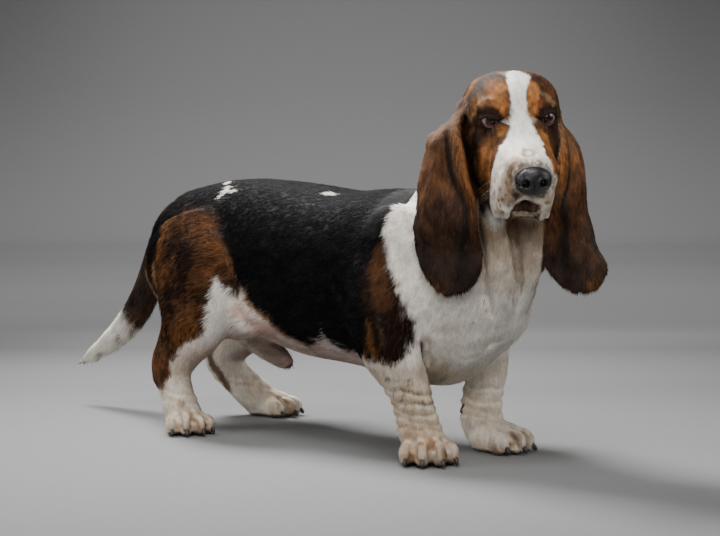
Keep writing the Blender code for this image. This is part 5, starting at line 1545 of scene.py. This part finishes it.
def roots_on(skin, draw):
    """Random roots over the skin, as many as each place asks for."""
    mesh = skin.data
    mesh.calc_loop_triangles()
    tri = np.empty(len(mesh.loop_triangles) * 3, int)
    mesh.loop_triangles.foreach_get("vertices", tri)
    tri = tri.reshape(-1, 3)
    co = points_of(mesh)
    no = normals_of(mesh)
    fields = body_fields(co)
    density = hair_density(co, fields)
    corners = co[tri]
    sides = corners[:, 1:] - corners[:, :1]
    area = 0.5 * np.linalg.norm(np.cross(sides[:, 0], sides[:, 1]), axis=1)
    share = np.cumsum(area * density[tri].mean(1))
    count = int(share[-1])
    at = np.searchsorted(share, draw.random(count) * share[-1])
    at = np.minimum(at, len(tri) - 1)
    a = draw.random(count)
    b = draw.random(count)
    flip = a + b > 1
    a = np.where(flip, 1 - a, a)
    b = np.where(flip, 1 - b, b)
    weights = np.stack([1 - a - b, a, b], 1)[:, :, None]
    root = (co[tri[at]] * weights).sum(1)
    normal = (no[tri[at]] * weights).sum(1)
    return root, normal / np.linalg.norm(normal, axis=1)[:, None]


def tuft_mesh(name, root, normal, lie, length, colour, draw):
    """Thin closed tufts, each a slim three-sided spike that leans along the lie of the coat."""
    count = len(root)
    across = np.cross(normal, lie)
    turn = 0.30 * noise(root, 0.011, 61) * np.minimum(length / 0.0100, 1.6) + draw.normal(0, 0.11, count)
    ahead = lie + across * turn[:, None]
    across = np.cross(normal, ahead)
    across /= np.linalg.norm(across, axis=1)[:, None]
    long = length * (1 + 0.20 * noise(root, 0.008, 62)) * draw.uniform(0.75, 1.25, count)
    wide = (0.00045 + 0.042 * np.minimum(length, 0.014)) * draw.uniform(0.7, 1.2, count)
    lifted = smoothstep(0.0, 0.9, noise(root, 0.010, 63))
    rise = 0.0004 + long * (0.06 + 0.10 * lifted + draw.uniform(0, 0.09, count))
    base = root - normal * ROOT_DEPTH
    left = base + across * wide[:, None] / 2
    right = base - across * wide[:, None] / 2
    top = base + normal * (wide * 0.55 + 0.0004)[:, None] + ahead * (long * 0.25)[:, None]
    tip = base + ahead * long[:, None] + normal * rise[:, None]
    points = np.stack([left, right, top, tip], 1).reshape(-1, 3)
    points[:, 2] = np.maximum(points[:, 2], TUFT_FLOOR)
    first = np.arange(count)[:, None] * 4
    faces = (first + np.array([0, 2, 3, 2, 1, 3, 1, 0, 3, 0, 1, 2])).reshape(-1)
    mesh = bpy.data.meshes.new(name)
    mesh.vertices.add(len(points))
    mesh.vertices.foreach_set("co", points.ravel())
    mesh.loops.add(len(faces))
    mesh.loops.foreach_set("vertex_index", faces)
    mesh.polygons.add(len(faces) // 3)
    mesh.polygons.foreach_set("loop_start", np.arange(0, len(faces), 3))
    mesh.update(calc_edges=True)
    tone = np.exp(draw.normal(0.0, 1.0, count)
                  * np.interp(colour.mean(1), (0.0, 0.25), (0.38, 0.10)))[:, None]
    ends = np.array([0.70, 0.70, 0.92, 1.18])
    rgb = (colour * tone)[:, None, :] * ends[None, :, None]
    paint(mesh, np.clip(rgb, 0.001, 1).reshape(-1, 3))
    uv = mesh.uv_layers.new(name="OFBake")
    place = unwrap(root, name.replace("coat_", ""))
    patch = np.array([(-0.0015, -0.0015), (0.0015, -0.0015), (0.0, 0.0), (0.0, 0.0015)])
    spots = (place[:, None, :] + patch[None]).reshape(-1, 2)
    uv.data.foreach_set("uv", spots[faces].ravel())
    mesh.shade_smooth()
    soft = np.repeat(normal, 4, 0) * 0.72
    own = np.stack([across, -across, normal, normal + ahead * 0.3], 1).reshape(-1, 3) * 0.28
    mesh.normals_split_custom_set_from_vertices(soft + own)
    return link(name, mesh)


class Value:
    """A shader socket that takes part in Python sums."""

    def __init__(self, finish, socket):
        self.finish = finish
        self.socket = socket

    def _math(self, operation, first, second=None):
        inputs = [first] if second is None else [first, second]
        return self.finish.node("ShaderNodeMath", {"operation": operation}, inputs)

    def __add__(self, other):
        return self._math("ADD", self, other)

    def __sub__(self, other):
        return self._math("SUBTRACT", self, other)

    def __rsub__(self, other):
        return self._math("SUBTRACT", other, self)

    def __mul__(self, other):
        return self._math("MULTIPLY", self, other)

    def __pow__(self, other):
        return self._math("POWER", self, other)

    __radd__ = __add__
    __rmul__ = __mul__


class Finish:
    """A procedural material: one Principled shader and the nodes that feed it."""

    def __init__(self, name, **constants):
        self.material = bpy.data.materials.new(name)
        self.material.use_nodes = True
        self.nodes = self.material.node_tree.nodes
        self.links = self.material.node_tree.links
        self.shader = self.nodes["Principled BSDF"]
        for word, value in constants.items():
            self.shader.inputs[word.replace("_", " ").title().replace("Ior", "IOR")].default_value = value

    def set_input(self, socket, value):
        if isinstance(value, Value):
            self.links.new(value.socket, socket)
        elif value is not None:
            socket.default_value = value

    def node(self, kind, settings, inputs, output=0):
        made = self.nodes.new(kind)
        for word, value in settings.items():
            setattr(made, word, value)
        pairs = inputs.items() if isinstance(inputs, dict) else enumerate(inputs)
        for key, value in pairs:
            self.set_input(made.inputs[key], value)
        return Value(self, made.outputs[output])

    def place(self):
        return self.node("ShaderNodeTexCoord", {}, {}, "Object")

    def stretched(self, scale):
        return self.node("ShaderNodeMapping", {}, {"Vector": self.place(), "Scale": scale})

    def noise(self, vector, scale, detail=3.0):
        return self.node("ShaderNodeTexNoise", {},
                         {"Vector": vector, "Scale": scale, "Detail": detail}, "Fac")

    def mix(self, share, first, second, blend="MIX"):
        return self.node("ShaderNodeMix", {"data_type": "RGBA", "blend_type": blend},
                         {0: share, 6: first, 7: second}, 2)

    def bump(self, height, strength, distance):
        return self.node("ShaderNodeBump", {},
                         {"Strength": strength, "Distance": distance, "Height": height})

    def feed(self, **links):
        for word, value in links.items():
            self.set_input(self.shader.inputs[word.replace("_", " ").title()], value)
        return self.material


def coat_finish(name, streak, fine, gloss=0.13):
    """Short hair: the coat's own colour, streaked along its lie, with a soft sheen."""
    f = Finish(name, sheen_weight=0.0, specular_ior_level=gloss)
    colour = f.node("ShaderNodeAttribute", {"attribute_name": "coat"}, {}, "Color")
    streaks = f.noise(f.stretched(streak), 1.0, 4.0)
    dull = f.mix(1.0, colour, (0.66, 0.63, 0.60, 1.0), "MULTIPLY")
    bright = f.mix(1.0, colour, (1.28, 1.26, 1.24, 1.0), "MULTIPLY")
    both = f.mix(streaks, dull, bright)
    height = streaks + f.noise(f.place(), fine, 2.0) * 0.5
    return f.feed(base_color=both, roughness=0.52 + streaks * 0.25, normal=f.bump(height, 0.5, 0.0012))


def colour_points(obj):
    """Paints an object's points with the coat's colours at their places."""
    co = points_of(obj.data)
    no = normals_of(obj.data)
    fields = body_fields(co)
    colour = coat_colour(co, no, fields)
    for side, (*_, low) in ((-1, LID_RIGHT), (1, LID_LEFT)):
        q = in_frame(gaze_frame(side), co)
        r = np.linalg.norm(q, axis=1)
        rim = (r < EYE_RADIUS + 0.0030) & (q[:, 0] > 0.003)
        colour = between(colour, LIP[None] * 0.5, rim * 1.0)
        rim = (r < EYE_RADIUS + 0.0012) & (q[:, 0] > 0.003)
        colour = between(colour, HAW[None] * 0.6, rim * smoothstep(-low * 0.55, -low * 0.80, q[:, 2]))
    paint(obj.data, colour)


def make_coat(skin):
    """Tufts over the whole dog, one piece for each region."""
    draw = np.random.default_rng(SEED)
    root, normal = roots_on(skin, draw)
    fields = body_fields(root)
    colour = coat_colour(root, normal, fields)
    lie = lie_of_coat(root, normal, fields)
    length = hair_length(root, normal, fields)
    names = region_of(root, fields)
    pieces = []
    for name in sorted(set(names)):
        here = names == name
        piece = tuft_mesh("coat_" + name, root[here], normal[here],
                          lie[here], length[here], colour[here], draw)
        scale = (180.0, 600.0, 420.0) if name.startswith("trunk") else (500.0, 500.0, 160.0)
        gloss = 0.03 if name.startswith("trunk") else 0.13
        piece.data.materials.append(coat_finish("coat_" + name, scale, 700.0, gloss))
        pieces.append(piece)
    return pieces


def make_eye(name, side):
    """An eyeball with a clear bulge over a dark brown iris."""
    bm = bmesh.new()
    bmesh.ops.create_uvsphere(bm, u_segments=64, v_segments=48, radius=1.0)
    mesh = bpy.data.meshes.new(name)
    bm.to_mesh(mesh)
    bm.free()
    mesh.transform(Matrix.Rotation(math.radians(90), 4, "Y"))
    co = points_of(mesh)
    away = np.arccos(np.clip(co[:, 0], -1, 1))
    swell = 1 + 0.045 * smoothstep(0.60, 0.30, away)
    set_points(mesh, co * (EYE_RADIUS - 0.0002) * swell[:, None])
    iris = smoothstep(0.60, 0.56, away)
    pupil = smoothstep(0.25, 0.21, away)
    ring = smoothstep(0.46, 0.57, away)
    colour = between(EYE_WHITE[None], IRIS[None], iris)
    colour = between(colour, colour * 0.25, iris * ring)
    colour = between(colour, PUPIL[None], pupil)
    low = smoothstep(-0.30, -0.44, co[:, 2] + 0.06 * np.abs(co[:, 1]))
    colour = between(colour, HAW[None], low)
    paint(mesh, colour)
    x, y, z = EYE_CENTRE
    mesh.transform(HEAD @ turned_frame(Vector((x, side * y, z)), side * math.radians(10), math.radians(-4)))
    mesh.shade_smooth()
    f = Finish(name, roughness=0.10, specular_ior_level=0.4, coat_roughness=0.03, coat_weight=0.35)
    colour = f.node("ShaderNodeAttribute", {"attribute_name": "coat"}, {}, "Color")
    veins = f.noise(f.place(), 900.0, 4.0)
    mesh.materials.append(f.feed(base_color=f.mix(veins * 0.4, colour,
                                                  f.mix(1.0, colour, (0.5, 0.4, 0.4, 1.0), "MULTIPLY"))))
    return link(name, mesh)


def make_nose():
    """Black leather with deep nostrils, a slit at their side and the groove between them."""
    nose = blob("nose_leather", (0, 0, 0), (1, 1, 1), detail=6)
    mesh = nose.data
    co = points_of(mesh)
    p = co * NOSE_RADII
    flat = smoothstep(0.2, 1.0, co[:, 2]) * 0.0016
    p[:, 2] -= flat
    p[:, 0] += 0.0016 * smoothstep(0.3, 0.9, co[:, 2]) * smoothstep(0.0, 0.6, co[:, 0])
    y = np.abs(p[:, 1])
    hole = np.linalg.norm(np.stack([(y - 0.0105) / 0.0044, (p[:, 2] + 0.0005) / 0.0050], 1), axis=1)
    pit = smoothstep(1.25, 0.35, hole) * (p[:, 0] > 0)
    away, _ = near_line(np.stack([0 * y, y, p[:, 2]], 1), NOSTRIL_SLIT)
    slit = smoothstep(0.0022, 0.0004, away) * (p[:, 0] > 0)
    groove = smoothstep(0.0018, 0.0002, y) * smoothstep(0.004, -0.003, p[:, 2]) * (p[:, 0] > 0)
    wing = np.exp(-(((hole - 1.45) / 0.4) ** 2)) * (p[:, 0] > 0)
    p[:, 0] -= 0.0075 * pit + 0.0034 * slit + 0.0022 * groove - 0.0010 * wing
    p += np.array(NOSE_CENTRE)
    set_points(mesh, p)
    mesh.transform(HEAD)
    # Painted shade: darker still inside the nostrils and the slits beside them.
    dark = np.clip(1 - 0.85 * np.maximum(pit, 0.8 * slit), 0, 1)
    paint(mesh, LEATHER * dark[:, None])
    mesh.shade_smooth()
    f = Finish("nose_leather", specular_ior_level=0.5)
    colour = f.node("ShaderNodeAttribute", {"attribute_name": "coat"}, {}, "Color")
    pebbles = f.node("ShaderNodeTexVoronoi", {}, {"Vector": f.place(), "Scale": 700.0}, "Distance")
    cloud = f.noise(f.place(), 120.0)
    # A lighter bluish grey mixed in by noise: the leather's grey, partly a painted sheen.
    sheen_grey = f.mix(cloud, colour, (0.036, 0.035, 0.042, 1.0))
    mesh.materials.append(f.feed(base_color=f.mix(pebbles * 0.5, colour, sheen_grey),
                                 roughness=0.22 + cloud * 0.22,
                                 normal=f.bump(pebbles, 0.45, 0.0006)))
    return nose


def claw_at(bm, place, size=1.0):
    """Adds one thick, blunt claw that grows along the place's own X axis and bends down."""
    rows = [(t * size, 0, h * size, *(CLAW_RADIUS * share * size * k for k in (0.90, 1.0, 1.1)))
            for t, h, share in CLAW_ROWS]
    claw = loft("claw", rows, place, sides=18, step=0.001)
    bm.from_mesh(claw.data)
    bpy.data.objects.remove(claw)


def make_claws(name, extra=()):
    """Four dark claws, bent down to the ground, and any dewclaw on the leg above."""
    bm = bmesh.new()
    for x, y, z, length, width, height in toe_places():
        splay = math.atan2(y, TOE_FAN)
        out = length * CLAW_PLACE[0]
        tip = Vector((x + math.cos(splay) * out, y + math.sin(splay) * out, z * CLAW_PLACE[1] + 0.0015))
        claw_at(bm, paw_frame(name) @ turned_frame(tip, splay, CLAW_DROP))
    for place in extra:
        claw_at(bm, place, 0.85)
    bmesh.ops.recalc_face_normals(bm, faces=bm.faces[:])
    for corner in bm.verts:
        corner.co.z = max(corner.co.z, 0.0006)
    mesh = smooth_mesh("claws_" + name, bm)
    piece = link("claws_" + name, mesh)
    f = Finish(piece.name, specular_ior_level=0.45)
    grain = f.noise(f.stretched((900.0, 900.0, 200.0)), 1.0)
    mesh.materials.append(f.feed(base_color=f.mix(grain, (0.010, 0.008, 0.007, 1),
                                                  (0.060, 0.042, 0.030, 1)),
                                 roughness=0.34 + grain * 0.2, normal=f.bump(grain, 0.3, 0.0003)))
    return piece


def dewclaw_place(skin_tree):
    """Where the dewclaw grows, on the inner side of the left foreleg above its paw."""
    rows = np.array([row[:3] for row in LEGS["foreleg_left"]])[::-1]
    x, y = (float(np.interp(DEWCLAW_HEIGHT, *sorted_columns(rows, k))) for k in (0, 1))
    outward = Vector((-0.62, -0.78, 0))
    spot, *_ = skin_tree.find(Vector((x, y, DEWCLAW_HEIGHT)) + outward * 0.032)
    return turned_frame(spot - outward * 0.001, math.atan2(outward.y, outward.x), math.radians(62))


def sorted_columns(rows, k):
    """Heights in rising order, and another column of the same rows."""
    order = np.argsort(rows[:, 2])
    return rows[order, 2], rows[order, k]


def tree_of(skin):
    tree = KDTree(len(skin.data.vertices))
    for i, vertex in enumerate(skin.data.vertices):
        tree.insert(vertex.co, i)
    tree.balance()
    return tree


def make_whiskers(tree, draw):
    """A few thin, pale whiskers on each side of the muzzle."""
    bm = bmesh.new()
    for side in (-1, 1):
        for row in range(WHISKER_ROWS):
            for k in range(WHISKERS_IN_ROW):
                at = HANG @ Vector((0.100 - 0.013 * k - 0.003 * row, side * 0.040, -0.056 - 0.013 * row))
                spot, *_ = tree.find(at)
                swing = (-0.2 - 0.12 * k + 0.3 * draw.random(),
                         side * (0.8 + 0.2 * draw.random()), -0.3 - 0.5 * draw.random())
                away = (HANG.to_3x3() @ Vector(swing)).normalized()
                long = 0.014 + 0.018 * draw.random() + 0.003 * k
                turn = away.to_track_quat("Z", "Y").to_matrix()
                rings = []
                for t in np.linspace(0, 1, 7):
                    middle = spot + away * (long * t) + Vector((0, 0, -WHISKER_SAG * t * t))
                    radius = WHISKER_RADIUS * (1 - 0.8 * t)
                    rings.append([bm.verts.new(middle + turn
                                               @ Vector((radius * math.cos(a), radius * math.sin(a), 0)))
                                  for a in (0, 2.094, 4.189)])
                for a, b in zip(rings[:-1], rings[1:]):
                    for j in range(3):
                        bm.faces.new((a[j], a[(j + 1) % 3], b[(j + 1) % 3], b[j]))
                bm.faces.new(rings[0][::-1])
                bm.faces.new(rings[-1])
    mesh = smooth_mesh("whiskers", bm)
    f = Finish("whiskers", roughness=0.5)
    grain = f.noise(f.place(), 300.0)
    mesh.materials.append(f.feed(base_color=f.mix(grain, (0.20, 0.17, 0.14, 1), (0.34, 0.30, 0.26, 1))))
    return link("whiskers", mesh)


def make_stage():
    """A pale floor that curves up into a plain grey wall, with painted shade that makes the wall darker
    higher up and at its sides.
    """
    bm = bmesh.new()
    path = [(FLOOR_FRONT, 0.0), (WALL_START, 0.0)]
    for k in range(1, 25):
        a = math.radians(90 * k / 24)
        path.append((WALL_START - WALL_CURVE * math.sin(a), WALL_CURVE * (1 - math.cos(a))))
    path.append((WALL_START - WALL_CURVE, WALL_TOP))
    rows = []
    for along, height in path:
        rows.append([bm.verts.new((along, wide, height)) for wide in (-FLOOR_HALF_WIDTH, FLOOR_HALF_WIDTH)])
    for a, b in zip(rows[:-1], rows[1:]):
        bm.faces.new((a[0], a[1], b[1], b[0]))
    mesh = smooth_mesh("floor", bm)
    floor = link("floor", mesh)
    aim = math.atan2(-CAMERA_AIM.y, -CAMERA_AIM.x)
    floor.matrix_world = Matrix.Rotation(aim, 4, "Z")
    f = Finish("floor", specular_ior_level=0.15)
    along, across, height = (f.node("ShaderNodeSeparateXYZ", {}, {"Vector": f.place()}, axis)
                             for axis in "XYZ")
    step = {"interpolation_type": "SMOOTHSTEP"}
    high = f.node("ShaderNodeMapRange", {}, {"Value": height, "From Min": 0.0, "From Max": 1.00})
    edge = f.node("ShaderNodeMapRange", step, {"Value": across * across, "From Min": 0.0, "From Max": 2.4})
    grain = f.noise(f.place(), 60.0)
    colour = (FLOOR_PALE, FLOOR_PALE, FLOOR_PALE, 1)
    # Painted light: the floor's tone rises farther back; painted shade darkens the wall higher up and at
    # its sides.
    for near, far, tone in FLOOR_TONES:
        share = f.node("ShaderNodeMapRange", {}, {"Value": along, "From Min": near, "From Max": far})
        colour = f.mix(share, colour, (tone, tone, tone, 1))
    colour = f.mix(high, colour, (WALL_HIGH, WALL_HIGH, WALL_HIGH, 1))
    colour = f.mix(edge * high * 0.3, colour, (0.0, 0.0, 0.0, 1))
    mesh.materials.append(f.feed(base_color=f.mix(grain * 0.05, colour, (0.2, 0.2, 0.2, 1)),
                                 roughness=0.6 + grain * 0.1))


def soft_light(name, at, aim, size, power, spread):
    """An oblong light at a place, turned to where it aims."""
    lamp = bpy.data.lights.new(name, "AREA")
    lamp.shape = "RECTANGLE"
    lamp.size, lamp.size_y = size
    lamp.energy = power
    lamp.spread = math.radians(spread)
    obj = bpy.data.objects.new(name, lamp)
    bpy.context.scene.collection.objects.link(obj)
    obj.location = at
    obj.rotation_euler = (Vector(aim) - Vector(at)).to_track_quat("-Z", "Y").to_euler()


def make_lights():
    """A strong light over the dog's rump, weaker ones all round its front, and one at the wall."""
    right = Vector((0.76376, 0.64550, 0))
    ahead = Vector((-0.64395, 0.76192, 0))
    middle = Vector((0.05, 0, 0.25))
    soft_light("light_key", middle + Vector((-0.65, 0.10, 1.0)).normalized() * 2.2,
               middle, (0.85, 0.85), 26, 75)
    soft_light("light_top", middle - ahead * 0.9 + Vector((0, 0, 1.9)), middle, (1.2, 1.0), 6.5, 90)
    soft_light("light_right", middle + right * 1.8 - ahead * 0.5 + Vector((0, 0, 0.9)),
               middle, (0.7, 1.2), 2.5, 80)
    soft_light("light_left", middle - right * 1.8 - ahead * 0.5 + Vector((0, 0, 0.9)),
               middle, (0.7, 1.2), 4.2, 80)
    face = Vector((0.33, -0.05, 0.42))
    soft_light("light_face", middle - ahead * 1.2 + Vector((0, 0, 1.7)), face, (0.6, 0.6), 0.9, 50)
    soft_light("light_front", middle - ahead * 2.2 + Vector((0, 0, 0.9)), middle, (1.5, 1.0), 6.2, 100)
    far = middle + ahead * 2.5
    soft_light("light_wall", far + Vector((0, 0, 2.1)), far + ahead * 1.2, (2.8, 0.8), 30, 150)
    world = bpy.data.worlds.new("room")
    world.use_nodes = True
    world.node_tree.nodes["Background"].inputs["Color"].default_value = (0.5, 0.5, 0.5, 1)
    world.node_tree.nodes["Background"].inputs["Strength"].default_value = 0.10
    bpy.context.scene.world = world


def make_camera():
    data = bpy.data.cameras.new("camera")
    data.lens = 95.0
    data.sensor_width = 36.0
    data.clip_end = 50.0
    camera = bpy.data.objects.new("camera", data)
    bpy.context.scene.collection.objects.link(camera)
    camera.location = CAMERA_AT
    camera.rotation_euler = CAMERA_AIM.to_track_quat("-Z", "Y").to_euler()
    bpy.context.scene.camera = camera


def settle(piece, slot, *nodes):
    """Moves a piece to the dog's stand and lets it ride there in place of its solids."""
    piece.data.transform(Matrix.Translation(STAND_SHIFT))
    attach(piece, "root")
    if nodes:
        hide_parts(*nodes)


def make_dog():
    """All the pieces of the dog, each settled on the solids that it covers."""
    draw = np.random.default_rng(SEED + 1)
    skin = skin_form()
    colour_points(skin)
    skin.data.materials.append(coat_finish("skin", (400.0, 400.0, 400.0), 900.0, 0.07))
    coat = make_coat(skin)
    tree = tree_of(skin)
    whiskers = make_whiskers(tree, draw)
    claws = [make_claws(name, [dewclaw_place(tree)] if name == "foreleg_left" else []) for name in PAWS]
    eyes = [make_eye("eyeball_right", -1), make_eye("eyeball_left", 1)]
    nose = make_nose()
    flesh_nodes = [name for name in frame["nodes"] if not name.startswith(("eye_", "nose"))]
    settle(skin, "coat_white", *flesh_nodes)
    slots = {"head": "coat_tan", "ear_right": "coat_brown",
             "ear_left": "coat_brown", "trunk_middle": "coat_black",
             "trunk_rear": "coat_black"}
    for piece in coat:
        settle(piece, slots.get(piece.name.replace("coat_", ""), "coat_white"))
    for piece in claws + [whiskers]:
        settle(piece, "coat_white")
    settle(eyes[0], "eye", "eye_right")
    settle(eyes[1], "eye", "eye_left")
    settle(nose, "nose_leather", "nose")


make_camera()
make_lights()
make_stage()
make_dog()
